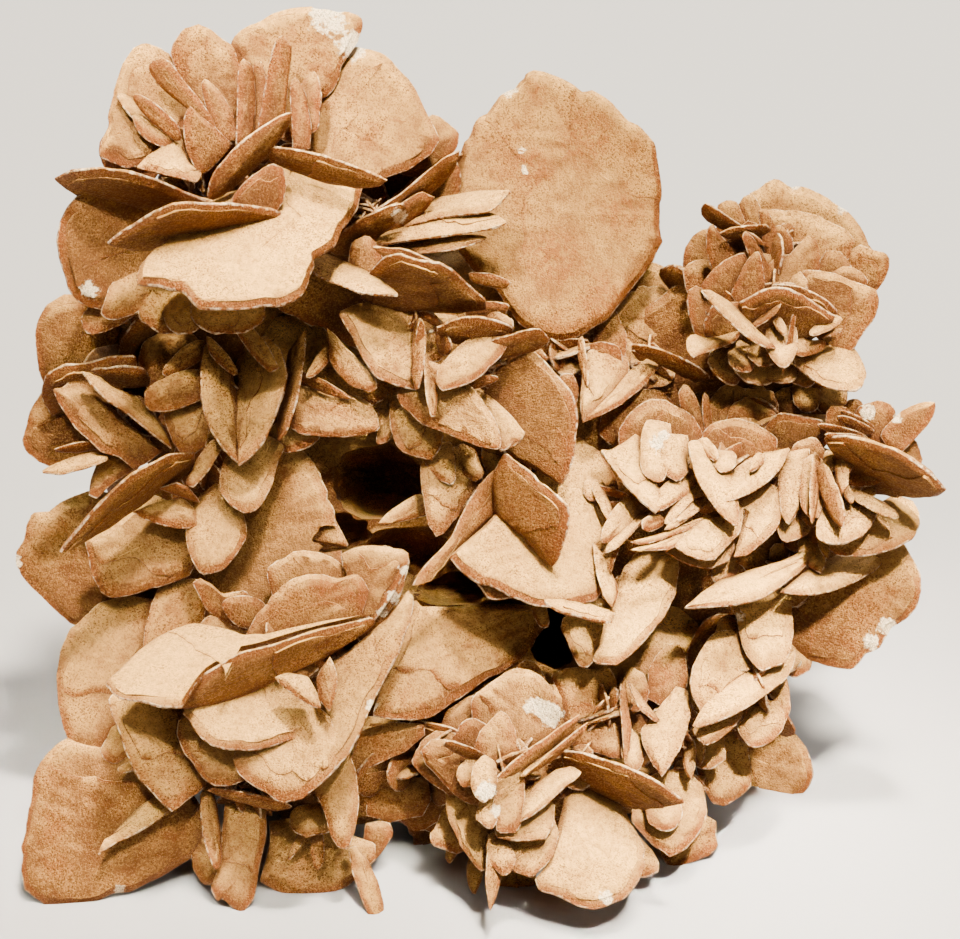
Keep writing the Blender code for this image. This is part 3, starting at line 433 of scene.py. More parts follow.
RIGHT_TIP = [
    (186, -2, -6, 203, -44, 18, 50, 0, ROUND),
    (181, -4, 6, 180, -39, 34, 36, 0, ROUND),
    (169, 3, 16, 181, -30, 42, 13, 45, LEAF),
    (167, 9, 4, 165, -30, 26, 13, 10, LEAF),
    (169, 10, 12, 165, -28, 30, 8, -45, LEAF),
    (159, -12, 0, 168, -30, 14, 8, 0, LEAF),
    (180, 9, 16, 181, -13, 34, 8, 30, LEAF),
    (186, 11, 14, 181, -3, 28, 8, 0, LEAF),
    (184, 2, 12, 204, 4, 28, 14, 0, LEAF),
    (182, -4, 12, 206, -3, 28, 11, -20, LEAF),
    (181, -6, 20, 186, -18, 30, 5, 0, LEAF),
    (187, -6, 10, 197, -14, 20, 10, 0, ROUND),
    (184, -10, 18, 210, -25, 36, 10, -45, LEAF),
    (172, 10, 12, 231, -11, 50, 36, 66, LEAF),
    (202, 10, 8, 228, 35, 12, 17, 0, LEAF),
    (202, 4, -2, 222, 11, -2, 26, 0, ROUND),
    (196, 12, 4, 201, 35, 8, 24, 0, PLATE),
    (187, 16, 2, 189, 36, 4, 15, 0, PLATE),
    (182, 14, 4, 178, 33, 8, 16, 0, ROUND),
    (195, 15, 12, 167, 23, 30, 8, -50, LEAF),
    (197, 18, 10, 177, 28, 24, 7, -40, LEAF),
    (198, 20, 8, 179, 30, 20, 6, -40, LEAF),
    (196, 13, 14, 171, 18, 36, 8, -45, LEAF),
    (174, 6, 0, 156, 10, 2, 18, 0, ROUND),
    (176, 10, 8, 176, -2, 20, 9, 0, LEAF),
]
RIGHT_SKIRT = [
    (144, -50, -36, 221, -68, -6, 76, 0, DISC),
    (144, -56, -14, 139, -102, 12, 34, 0, PLATE),
    (208, -40, -20, 149, -61, 16, 28, 35, LEAF),
    (164, -32, -8, 171, -52, 8, 13, 0, LEAF),
    (171, -32, 2, 174, -45, 14, 6, 0, LEAF),
    (128, -106, -30, 118, -69, -20, 38, 0, ROUND),
    (130, -84, -4, 108, -122, 20, 30, -10, ROUND),
    (158, -96, -6, 105, -129, 30, 22, 32, LEAF),
    (130, -74, -16, 128, -106, 8, 24, 0, ROUND),
    (134, -120, 0, 110, -138, 20, 14, 20, LEAF),
    (158, -84, -30, 162, -106, -22, 18, 0, ROUND),
    (144, -108, -14, 139, -140, 0, 28, 0, ROUND),
    (150, -102, -18, 152, -131, -8, 12, 0, ROUND),
    (126, -146, -96, 167, -157, -84, 48, 0, ROUND),
    (118, -132, -36, 126, -168, -24, 36, 0, ROUND),
    (112, -130, -18, 117, -151, -6, 22, 0, ROUND),
    (94, -146, -14, 103, -192, 4, 36, 0, ROUND),
    (106, -164, -36, 107, -200, -26, 34, 0, ROUND),
    (82, -164, -10, 86, -205, 4, 28, 0, ROUND),
    (88, -160, 0, 96, -181, 10, 20, 0, ROUND),
    (36, -146, 10, 104, -165, 50, 32, 60, LEAF),
]
print(len(RIGHT_MIDDLE) + len(RIGHT_TIP) + len(RIGHT_SKIRT), "crystals on the right side")

# %% Crystals of the lower right
LOWER_RIGHT = [
    (60, -148, 6, 50, -96, -6, 46, 0, ROUND),
    (73, -146, 14, 71, -102, 8, 11, 30, LENS),
    (90, -127, 12, 73, -104, 12, 9, 50, LEAF),
    (78, -122, -4, 78, -98, -8, 16, 0, LEAF),
    (94, -128, -6, 96, -85, -10, 26, 0, ROUND),
    (103, -104, 0, 89, -155, 24, 26, 15, LEAF),
    (80, -130, 2, 75, -151, 16, 14, 0, ROUND),
    (105, -132, -6, 105, -157, 6, 8, 20, LEAF),
    (110, -130, -12, 110, -150, -2, 8, 0, LEAF),
    (24, -146, 8, 20, -98, 4, 52, 0, ROUND),
    (25, -120, -6, 25, -93, -4, 18, 0, ROUND),
    (-6, -146, -2, -12, -111, -4, 28, 0, ROUND),
    (22, -160, 10, -37, -139, 16, 36, 0, ROUND),
    (18, -162, 18, -30, -146, 24, 28, 0, ROUND),
    (8, -152, 30, 10, -119, 26, 26, 0, ROUND),
    (2, -142, 16, -10, -126, 20, 22, 0, ROUND),
    (2, -144, 26, -20, -134, 38, 11, -55, LEAF),
    (4, -142, 22, -10, -157, 34, 15, 0, ROUND),
    (8, -140, 32, 0, -168, 50, 18, 0, PLATE),
    (52, -120, 24, 6, -156, 52, 15, -55, LENS),
    (43, -139, 24, 19, -154, 44, 9, -50, LENS),
    (47, -144, 24, 19, -176, 48, 19, 35, LENS),
    (16, -150, 34, 12, -184, 44, 17, 0, ROUND),
    (24, -156, 20, 22, -187, 42, 36, 0, ROUND),
    (6, -160, 34, 2, -179, 46, 12, 0, ROUND),
    (58, -158, 8, 54, -219, 42, 58, 0, ROUND),
    (26, -168, 16, 24, -206, 38, 32, 0, ROUND),
    (6, -184, 30, 15, -201, 40, 14, 0, ROUND),
    (7, -176, 28, 5, -219, 42, 8, -20, LEAF),
    (0, -162, 12, -2, -203, 30, 28, 0, ROUND),
    (-4, -168, -4, -21, -192, 8, 24, 0, ROUND),
    (-2, -192, -10, -3, -214, 0, 9, 0, LEAF),
    (-12, -186, -5, -17, -199, 2, 6, 0, LEAF),
    (16, -190, -16, 18, -219, -8, 26, 0, ROUND),
]
SHOW_SIDE_TABLES = (
    CROWN_LEFT, LEFT_SIDE, MIDDLE_LEFT, LOWER_LEFT, FOOT_LEFT, CENTRE_LEFT, CENTRE, BIG_DISC, RIGHT_CROWN,
    BEHIND_RIGHT, RIGHT_MIDDLE, RIGHT_TIP, RIGHT_SKIRT, LOWER_RIGHT,
)
print(sum(len(table) for table in SHOW_SIDE_TABLES), "crystals placed one by one")

# %% [markdown]
# ## Edges and marks drawn one by one
# For each of the largest crystals: its group, its place in the group's rows and the points of its edge,
# as they are seen from in front of the stone (u, v in mm).  Bruises are round spots (u, v, radius) where
# the crust has broken to white; stains are spots where clear amber gypsum shows.

# %% Drawn edges, bruises and stains
EDGES_AS_WRITTEN = {
    "upper_left_rosette": """
0: -190.7,156.1 -189.9,163.7 -186.8,170.2 -186.4,177.7 -183.4,189.6 -178.4,204.7 -173,211.7 -167.6,213.8
  -160.1,211.7 -154.6,208 -151.4,198.3 -147.1,187.5 -144.9,174.5 -151.4,163.7 -164.4,152.9 -177.3,150.7
1: -190.7,159.4 -189.9,164.8 -186,170.2 -183.4,173.4 -175.2,163.7 -164.4,158.3 -160.1,148.6 -164.4,143.2
  -175.2,144.7 -183.4,147.7 -188.6,151.6
4: -166.1,200.4 -164.4,204.7 -159.6,206.3 -154.6,204.3 -149.2,196.1 -141.7,187.5 -134.1,176.7 -131.5,170.2
  -136.3,172.3 -147.1,181 -155.7,187.5 -162.2,193.9
6: -148.2,175.6 -147.1,179.9 -144.9,182.1 -140.6,178.4 -133,172.3 -124.4,163.7 -125.5,160.5 -132,152.9
  -138.4,147.5 -142.8,150.7 -147.1,159.4 -148.8,168
7: -172.6,150.7 -166.5,157.2 -157.9,162.6 -149.2,166.3 -147.1,159.4 -142.8,150.7 -138.4,147.5 -141.7,143.2
  -153.6,146.4 -164.4,149
8: -155.3,208 -153.6,214.5 -148.2,221 -141.7,224.2 -136.3,221.6 -129.8,216.6 -123.3,212.3 -119.9,202.6
  -117.7,187.5 -118.6,174.5 -127.6,170.2 -142.8,174.5 -149.2,191.8
10: -213.5,145.5 -205,150 -190,152 -175,150 -160,145 -150,140 -136,134 -120,130 -124,119 -145,118 -165,118
  -180,122 -190,127 -195,133 -203,138
11: -187,113 -180,119 -170,125 -160,131 -155,133 -145,134 -125,133 -102,130 -90,125 -93,117 -110,118
  -135,114 -155,111 -165,110 -175,110
12: -125,212 -124,216 -120,220 -113,224 -105,228 -98,230.5 -92,231.3 -84,232.3 -82,231 -76,231 -71,228.8
  -66,229.5 -60,227.5 -58,225 -58.5,219 -61,214 -65,208 -69,202 -70,196 -73,190 -76,187 -80,185 -84,176
  -90,164 -98,164 -110,176 -120,196
13: -99,218 -95.5,214 -94,211 -95,200 -96,190 -97,180 -98,166 -111,166 -111,172 -108,190 -106,200 -104,210
  -102,215
14: -118,206 -114.5,203 -113,200 -112,185 -113,170 -114,162 -122,162 -122,170 -121.5,185 -121,200 -120,204
16: -93,197 -90,194 -87,188 -84,172 -85,160 -94,160 -94,172 -95,185 -95,193
18: -70,208 -62,212 -58,211 -53,210.5 -49,209 -45,206 -42,202 -40,200 -36,196 -32,190 -28,182 -25,176
  -22,170 -20,165 -24,158 -35,150 -46,146 -66,138 -84,142 -88,160 -82,186
20: -10,160 -18,156 -28,148 -40,138 -55,128 -64,120 -58,115 -45,124 -25,138 -19,143 -13,150
21: -136.7,136 -135.2,144.2 -132,150.7 -125.5,158.3 -116.8,165.9 -108.2,172.3 -99.6,177.7 -93.9,179.3
  -94.8,173.4 -98.5,168 -106,157.2 -114.7,148.6 -123.3,141 -129.8,136.7 -134.1,135.2
22: -107,162 -95,161 -80,158 -65,153 -52,148 -46,145 -50,142 -62,141 -78,144 -92,149 -105,154
23: -112,149 -104,153.5 -98,151 -97,142 -98,134 -104,126 -118,126 -125,135 -118,144
24: -98,151 -85,149 -64,150 -55,148 -58,143 -60,137 -61,131 -66,123 -68,121 -72,112 -77,108.5 -83,105
  -82,100 -85,94 -88,87 -92,84 -98,81.5 -110,80.5 -122,79.5 -135,79.8 -140,80 -144,83 -148,88 -151,90
  -156,90 -161,92 -172,93 -172,97 -170,103 -165,108 -160,110 -150,122 -136,134 -116,142
25: -202,137 -206,132 -210,124 -212,115 -211,107 -209,100 -206,90 -201,84 -196,81 -186,79 -176,84 -164,94
  -154,108 -150,126 -158,140 -176,146 -192,143
""",
    "left_rosettes": """
0: -223,66 -222,74 -217,83 -208,88 -196,88 -182,82 -172,72 -164,58 -172,48 -190,44 -205,44 -217,40 -221,50
1: -217,48 -208,53 -197,53.5 -185,57 -172,57 -168,45 -190,38 -208,30 -214,27 -219,33 -219.5,40
3: -214,41 -209,41 -205,45 -199,47 -195,44 -187,35 -178,25 -168,17 -158,10 -165,4 -173,0 -180,6 -190,9
  -196,15 -203,21 -210,31
4: -199,49 -190,44 -180,40 -170,36 -165,30 -160,24 -156,17 -154,10.5 -163,17 -175,27 -187,35 -195,43
5: -219,40 -225,30 -228,20 -229.5,14 -227,8 -220,3 -212,0.5 -198,2 -186,8 -184,20 -196,28 -210,32
8: -190,8 -192,3 -195,-5 -196,-13 -192,-15 -185,-8 -176,-2 -170,2 -176,8
9: -196,-10 -204,-13 -210,-16 -216,-20.5 -224,-21 -227,-28 -228,-35 -232,-41 -233,-47 -230,-52 -226,-57
  -220,-63 -213,-70 -205,-77 -195,-80 -178,-72 -164,-52 -164,-26 -180,-12
10: -205,-79 -210,-90 -212,-103 -211,-118 -208,-130 -204,-140 -198,-144 -190,-142 -180,-130 -172,-110
  -165,-85 -162,-64 -175,-62 -190,-66 -198,-72
11: -160,-56 -165,-68 -168,-80 -169,-92 -160,-86 -150,-82 -138,-78 -134,-62 -142,-54
15: -140,36 -150,34.5 -158,33 -158,25 -154,14 -150,8 -144,7 -137,12 -134,25 -134,36
16: -138,63 -140,50 -140,38 -138,28 -134,18 -128,10 -121,3 -120,20 -122,40 -125,52 -132,64
17: -121,1 -116,5 -108,14 -102,26 -98,38 -96,48 -99,60 -107,68 -118,62 -124,48 -123,30 -122,14
21: -95,20 -88,17.5 -78,16.5 -68,16 -58,17.5 -50,20 -51,27 -54,33 -60,37 -70,38 -80,40 -94,44 -102,34
25: -143,9 -155,8 -165,3 -175,-3 -185,-12 -193,-20 -200,-28 -206,-35 -210.5,-41 -203,-37 -194,-33 -184,-27
  -174,-20 -163,-12 -150,-5 -142,2
26: -163,-12 -175,-20 -188,-30 -198,-35 -196,-45 -194,-55 -190,-62 -184,-64.5 -175,-63 -165,-60 -155,-57
  -145,-53 -138,-40 -140,-28 -150,-18
27: -174,-21 -165,-17 -158,-15 -148,-14 -142,-20 -140,-29 -152,-29.5 -162,-27 -170,-24
28: -161,-9 -152,-6 -145,-9 -139.5,-16.5 -146,-15 -154,-12
29: -140,-12 -146,-22 -148,-30 -147,-38 -144,-46 -141,-51 -138,-53 -134,-52 -128,-50 -122,-43 -117,-35
  -116,-28 -118,-20 -124,-10 -132,-6
30: -97,12 -100,5 -102,0 -104,-8 -108,-16 -112,-21 -118,-22 -125,-18 -130,-12 -131,-5 -128,6 -118,16
  -106,18
31: -112,-6 -116,-20 -116,-28 -105,-31 -92,-34 -80,-37 -70,-39 -65,-38.5 -70,-28 -76,-18 -85,-8 -95,0
  -104,2
""",
    "lower_left_rosettes": """
0: -188,-107 -180,-100 -171,-91 -162,-84 -154,-80 -144,-77.5 -130,-80 -118,-84 -100,-84 -80,-78 -54,-73.5
  -85,-81 -105,-87.5 -120,-91 -130,-97 -138,-102 -143,-108 -150,-119.5 -160,-118.5 -170,-116 -180,-115
  -186,-111
1: -120,-88 -116,-80 -112,-72 -106,-64 -100,-58 -94,-54 -86,-52 -78,-52 -70,-54 -64,-52 -60,-52 -57,-56
  -55,-60 -57,-68 -60,-76 -80,-86 -100,-94 -118,-94
2: -107,-52 -106,-48 -102,-45 -98,-44 -94,-40.5 -88,-39.5 -80,-41 -73,-44 -68,-48 -65,-54 -66,-60 -76,-70
  -92,-76 -104,-68
4: -36,-60 -33,-63 -33,-67 -35,-76 -38,-84 -40,-91 -45,-100 -50,-110 -55,-120 -60,-132 -66,-143 -72,-150
  -78,-156 -84,-160.5 -86,-148 -84,-130 -82,-112 -76,-98 -66,-90 -56,-82 -46,-74
5: -124,-144 -122,-149 -121,-152 -118,-155 -112,-159 -106,-162 -102,-166 -98,-167 -93,-165.5 -89,-165
  -85,-161.5 -81,-159 -76,-154 -72,-150 -70,-138 -74,-124 -84,-114 -102,-116 -118,-130
6: -149,-122 -146,-125 -143,-130 -140,-134 -135,-138 -128,-140 -120,-140.5 -112,-140 -104,-138.5 -98,-136
  -90,-134 -86,-132.5 -83,-131 -81,-129 -83,-124 -86,-120 -90,-110 -102,-102 -125,-102 -145,-112
7: -103,-104 -97,-101 -86,-103 -82,-110 -79,-119.5 -83,-119 -90,-115 -98,-109
8: -75,-93 -80,-100 -82,-104 -80,-116 -75,-121 -72,-112 -71,-104 -73,-97
9: -33,-64 -30,-68 -15,-68 0,-69 25,-69 32,-72 33,-78 28,-84 27,-88 22,-93 16,-98 10,-102 4,-104 -5,-111
  -15,-118 -25,-124 -35,-125.5 -45,-125 -54,-123 -50,-110 -44,-98 -38,-84
10: -186,-114 -184,-122 -181,-130 -177,-142 -172,-152 -168,-158 -160,-166 -154,-171 -150,-168.5 -146,-165
  -140,-161 -136,-157 -142,-150 -148,-140 -150,-128 -149,-116 -160,-104 -176,-104
13: -151,-125 -152,-132 -148,-142 -142,-150 -138,-155 -132,-158.5 -124,-158 -118,-156 -112,-146 -112,-134
  -122,-124 -138,-120
15: -144,-56 -140,-54 -134,-57 -129,-62 -122,-61 -117,-60 -113,-66 -111,-72 -117,-81 -124,-78 -132,-74
  -138,-69 -142,-61
16: -143,-86 -142,-80 -138,-74 -134,-72 -125,-79 -116,-82 -112,-90 -124,-94 -138,-92
18: -51.1,-27 -47,-21.8 -40.5,-17.2 -31.2,-11.6 -26.2,-13.4 -25.6,-22.7 -37.7,-25.5 -47,-28
19: -206,-133 -212,-137 -217,-142 -221,-148 -223.5,-154 -224,-160 -224.5,-165 -226,-169 -227,-176
  -227.5,-182 -230,-189 -229,-194 -230,-199 -229,-205 -228,-211 -223,-215 -218,-217.7 -212,-218 -200,-217
  -190,-215 -182,-211.5 -175,-211.5 -170,-209 -160,-204 -150,-198 -142,-193 -137,-187 -136,-172 -150,-154
  -170,-142 -190,-136
20: -191,-192.5 -182,-186.5 -170,-181 -158,-173 -152,-168 -146,-160 -156,-158 -170,-168 -182,-180
23: -127.6,-165.7 -107.1,-169 -106.5,-181.9 -110.4,-199.2 -112.5,-214.3 -119,-222.1 -124.4,-218.7
  -128.7,-214.3 -132,-216.5 -135.2,-210 -130.9,-199.2 -129.8,-186.3
25: -110.4,-205.7 -105,-186.3 -106,-175.4 -88.7,-173.3 -67.1,-181.9 -52,-186.3 -52,-194.9 -65,-207.9
  -77.9,-213.3 -93.1,-214.3 -101.7,-211.1
28: -83,-161 -80,-167 -77,-175 -75,-183 -71,-189 -67,-190 -65,-188 -62,-180 -60,-165 -62,-150 -66,-140
  -74,-144 -80,-154
29: -59.6,-130.1 -45.5,-125.8 -28.2,-126.8 -27.2,-132.2 -36.9,-140.9 -52,-147.4 -65,-153.4 -67.1,-149.5
  -62.8,-138.7
30: -66.1,-188.8 -62.8,-187.3 -56.3,-194.9 -50.9,-205.7 -48.1,-216.5 -47.7,-224.1 -50.9,-226.9 -55.3,-224.1
  -59.6,-214.3 -63.9,-201.4
31: -56.3,-156 -26.1,-152.8 -23.9,-164.6 -28.2,-173.3 -45.5,-176.5 -57.4,-173.3
32: -57.4,-176.5 -49.9,-175 -44.5,-176.5 -42.9,-181.9 -46.6,-188.4 -52,-194.9 -56.3,-199.6 -59.6,-193.8
34: -150,-119.5 -143,-108 -138,-102 -130,-97 -120,-91 -105,-87.5 -85,-81 -54,-73.5 -52,-76 -56,-80 -62,-84
  -68,-88 -80,-95 -95,-102 -105,-107 -120,-114 -135,-118.5
35: -36,-41 -35,-46 -40,-57 -45,-65 -51,-74 -62,-84 -72,-84 -70,-62 -66,-48 -70,-42 -60,-37 -47,-38
""",
    "middle_rosettes": """
0: -83,105 -77,108 -58,100 -48,94 -40,87 -60,88 -80,96 -88,102
3: -48,107 -40,109 -30,105.5 -20,104 -14,100 -5,92 3,85 3.5,80.5 -10,78.5 -30,79 -50,80 -60,86 -56,99
4: -76.9,71.4 -73.1,68.6 -67.5,62 -58.2,52.7 -51.7,45.3 -50.8,41.2 -54.5,38.8 -63.8,41.5 -71.3,48.1
  -75,54.6
6: -71.3,78.8 -62,83.5 -52.6,84.4 -37.7,80.7 -22.8,78.4 -10.7,77 -13.5,65.8 -19.1,54.6 -26.2,52.7
  -27.5,45.3 -32.1,39.7 -41.5,41.9 -52.6,46.2 -58.2,54.6 -63.8,65.8
10: -45,40 -46,30 -45,20 -42,12 -38,8 -30,5.5 -24,5 -20,10 -18,18 -24,30 -34,40
12: -40,130 -22,136 -5,139 16,140 12,135 8,131 3,128.5 -20,126 -38,121
13: -58,122 -40,131 -15,130 8,128 14,123 5,120 -18,117 -40,114 -58,111
26: -42,39 -40,33 -35,28 -30,23 -20,19 -10,15 0,11.5 8,10 10,10 11,14 10,20 5,30 0,37 -6,44 -20,50 -32,48
27: -2,40 4,38 10,33 16,27 20,22 23,18 20,14 17,14 13,9.5 10,9.5 8,14 4,24 -2,32
28: -1.4,38.8 7,34.1 14.5,25.7 22.8,16.9 20,13.6 12.6,9.9 9.8,8.9 7,15.5 2.3,26.6
29: 22,64.5 27,60 33,54 38,48 42,44 46,39 48,32 49,25 48,15 47,6 44,-3 41,-8.5 30,-1 20,4 13,8 5,20 0,34
  3,45 10,53 17,61
32: -30,8 -27,2 -20,-6 -14,-8 -12,-5 -12,4 -14,14 -24,14
34: -30,3 -30,-8 -28,-18 -26,-28 -22,-34 -18,-32 -10,-22 -4,-12 2,-4 0,6 -12,12 -24,10
35: 6,-0.5 7.5,0 8,-10 7.5,-22 4,-25 -2,-31 -8,-37 -16,-46 -22,-52 -28,-56.5 -34,-58 -31,-52 -26,-46
  -20,-40 -14,-33 -10,-24 -5,-14 0,-7
36: 12,9 17,5 25,-1 33,-8 40,-14 44,-18 45,-24 44,-32 42,-38 40,-44 36,-49 30,-43 22,-34 12,-26 7,-22 6,-10
  7,0
37: -16,-44 -12,-49 -6,-54 0,-57.5 8,-59.5 14,-63 22,-66 28,-68 32,-68.5 45,-69 58,-66 64,-56 70,-40 72,-20
  68,-4 62,8 50,17 40,10 20,-5 5,-25 -6,-35
39: 31,-65 40,-65.5 50,-67 60,-70 68,-72 66,-77 56,-75 48,-73 40,-71 34,-68
40: 56,-36 60,-40 64,-48 69,-58 69,-64 66,-69 62,-64 58,-52
41: 41,-74 40,-79 44,-88 48,-96 50,-99 54,-99 58,-95 62,-86 66,-78 60,-70 48,-70
43: 58,-97 56,-95 60,-86 62,-76 66,-66 69,-56 72,-48 77,-42 84,-38 96,-36 100,-48 98,-62 92,-74 84,-84
  76,-92 68,-98
""",
    "broad_disc": """
0: -21,137 -18,142 -13,150 -10,158 -8,164 -6,168 -3,174 0,177.5 3,178 6,182 10,187.5 15,190 17,190 19,193.5
  22,196 23,199 27,200.3 32,199.5 40,197 47,193 51,189.7 56,190.5 62,187 67,183.5 70,180 74,175.5 80,172.5
  85,167 88,163.5 89,158 90,150 91,143 91.5,136 90,134 90,128 90,120 92,113 90,110 88,106 84,100 79,94
  72,85 65,76 58,71 52,68 46,65 41,63.5 36,64.5 30,67 20,72 14,80 8,90 -5,100 -15,115 -20,128
""",
    "right_crown": """
0: 128,128 131,134 135,138.5 140,141 143,144 147,145.7 151,145 155,142 162,142 170,138.5 177,134.5 183,130
  188,125 191,121 193,117 195,112 197,110 200,100 195,85 180,75 150,75 125,90 122,110
1: 190,113 197,110 203,109 205,105 204.5,99 202,94 199,90 190,84 178,92 182,108
3: 139,130 148,131 158,130 168,128 176,124 184,120 188,115 186,108 180,98 160,88 145,92 136,110
4: 110.5,132 113,133.5 119,130.5 126,125.5 133,121 142,114 136,115.5 128,119 120,120.5 113,125 110.5,128
5: 118,129 119,133 124,135.5 129,134 131,129 134,122 134,112 124,110 118,120
6: 129,133 132,137 136,138.5 139,135 142,128 144,116 134,114
7: 113,119 115,123.5 117,123 119,119 124,114 128,108 127,100 118,97 115,102 113,110
8: 101,105 102,111 106,117 111,120.5 117,121 122,110 120,98 110,91 103,97
10: 119,118 125,121 133,122.2 143,123 146,120 140,116 130,115 123,115.5
13: 132,120 136,117 140,112 143,106 146,98 144,93 138,98 134,108 131,116
14: 110,92 116,100 122,105 130,108.5 133,109 134,100 132,90 124,84 112,86
15: 125,88 128,94 131,101 134,106 138,110 140,109 142,100 143,92 138,84 128,83
16: 139,110 142,107 145,102 146.5,97 144,91 141,94 140,102
17: 139,130 143,131 146,126 149,118 152,110 148,105 142,108 140,120
19: 142,92 148,98 152,105 158,112 163,117 166,118 169,114 170,108 170,100 168,92 158,86 148,86
20: 167,96 170,105 173,110 180,109.5 184,105 187,100 180,94
21: 157,97 163,100.5 170,100 178,98.5 186,95 194,92 199,90 200,85 199,80 197,75 193,69 190,64 186,59
  181,56.5 177,57 172,62 164,70 156,84
22: 176,99 181,102 186,102 191,99 195,94 188,88 178,90
23: 128,83 133,86 140,90 147,92 154,91.5 161,88 168,83 174,79 178,77 174,70 165,64 155,62 142,64 132,72
24: 146,93 152,93.5 160,92 168,88.5 175,84 179,80 179,74 170,70 156,72 147,82
25: 110,90 115,90 120,87 126,83 132,77 138,70 144,65 148.5,60 143,61 135,65 128,71 121,78 115,84
27: 104,90 108,92.5 114,90 120,84 122,72 112,63 107,68 104,78 103,85
28: 103,65 106,68 112,66 120,67 132,71 128,64 117,60 110,57.5 106,56 103.5,59
29: 133,70.5 140,77 147,82 151,84 149,79 143,74 137,70.5
31: 151,47 155,56 157,66 158,77 156,78.5 154,68 151.5,58
35: 157,64 160,66 167,65 173,64.5 173,61 168,58 161,56.5 157,58
36: 155.5,55.5 160,50 166,45 172,41.5 180,39.5 188,39 191,41 194,47 192,53 189,59 186,63 176,64 164,62
45: 75,63 83,62.5 92,60 100,56.5 109,52 116,46 108,44 94,50.5 84,56 78,59
46: 51,24 57,29 65,36 71,42 75,49 74,56 66,60 54,60 51,50 50,38 50,30
47: 51,23.5 60,27 70,32 80,40 86,47 90,52 84,56 75,50 66,39 56,29
58: 140,15.3 142.5,21.1 150.9,25.7 161.3,28.4 173.9,27.8 177,24.9 173.9,19 165.5,14.4 155.1,12.7 144.6,12.3
59: 144.6,36.8 150.9,41 157.2,42.4 165.5,43.5 173.9,43.1 182.7,37.8 183.7,29.5 176,24.5 165.5,23.8 153,23.8
  144.6,27
60: 114.3,37.8 123.7,42 134.1,41 146.7,39.9 148.8,31.6 145.6,24.2 138.3,19 127.9,20.1 117.4,25.3
""",
    "right_tip": """
0: 173.9,-39.6 178.1,-42.7 186.4,-43.7 196.9,-42.7 207.4,-39.6 216.8,-34.3 220.3,-27 219.9,-20.7
  216.8,-15.5 207.4,-12.4 194.8,-18.6 184.4,-29.1 176,-34.3
1: 167.6,-27 168,-34.3 173.9,-37.1 182.3,-37.5 190.6,-34.3 195.9,-28.1 199.4,-20.7 194.8,-14.5 186.4,-11.9
  178.1,-14.5 170.8,-19.7
13: 172.2,16.9 182.3,18 194.8,14.4 207.4,10.6 217.8,4.4 227.2,-2.9 233.5,-10.3 229.3,-13 217.8,-14
  207.4,-13 197.9,-11.1 189.6,-6.5 182.7,0.2 175.6,9.6
25: 200,-36 212,-36 217,-45 220.5,-52 221,-60 219,-68 214,-74 208,-78 203,-84 200,-89 194,-92 190,-96
  186,-100 180,-99.5 172,-98 164,-95 158,-92 150,-84 142,-70 140,-56 160,-42 185,-36
26: 124,-67 128,-73 129,-80 131,-88 134,-94 138,-99 141,-101 145,-99 152,-97 156,-90 157,-82 156,-68
  150,-56 135,-58
27: 150,-61 158,-62.5 168,-62.5 178,-60.5 188,-56 197,-51 204,-44 196,-38 180,-42 166,-48 156,-56
30: 103,-92 107,-82 112,-75 120,-71 128,-72 133,-85 130,-100 116,-106 104,-100
31: 119,-80 115,-83 110,-90 106,-98 104.5,-106 106,-114 109,-120 111,-122 116,-118 124,-110 135,-103
  140,-98 134,-86 126,-80
32: 106,-128 109,-129 116,-127 126,-123 135,-118 145,-111 153,-105 157,-98 158,-90 150,-94 138,-99 128,-103
  119,-110 111,-119
34: 106,-130 109,-135 113,-138 118,-136 126,-130 132,-122 130,-116 118,-120 110,-125
36: 132,-124 134,-119 142,-114 150,-116 153,-124 152,-130 146,-136 140,-139 135,-139 130,-133 128,-128
38: 152,-128 158,-132 163,-138 166,-146 167,-152 165,-158 160,-164 155,-168 148,-173 143,-175.5 138,-174
  130,-168 122,-155 124,-140 136,-128
39: 108,-150 112,-160 116,-167 122,-168 130,-164 136,-158 136,-148 134,-138 125,-130 112,-132
41: 75,-176 86,-188 95,-194 103,-190 110,-182 114,-172 112,-158 102,-148 86,-152 76,-164
42: 119,-176 119.5,-188 115,-193 107,-196 100,-198 95,-200 90,-192 92,-176 104,-166
43: 70,-176 80,-183 86,-190 90,-197 89,-201 83,-204 80,-204 72,-196 68,-186
45: 40,-140 50,-141 60,-144 70,-147 80,-151 90,-156 98,-162 103,-166 95,-168 85,-169.5 75,-169.5 65,-168
  55,-164 47,-158 42,-150
""",
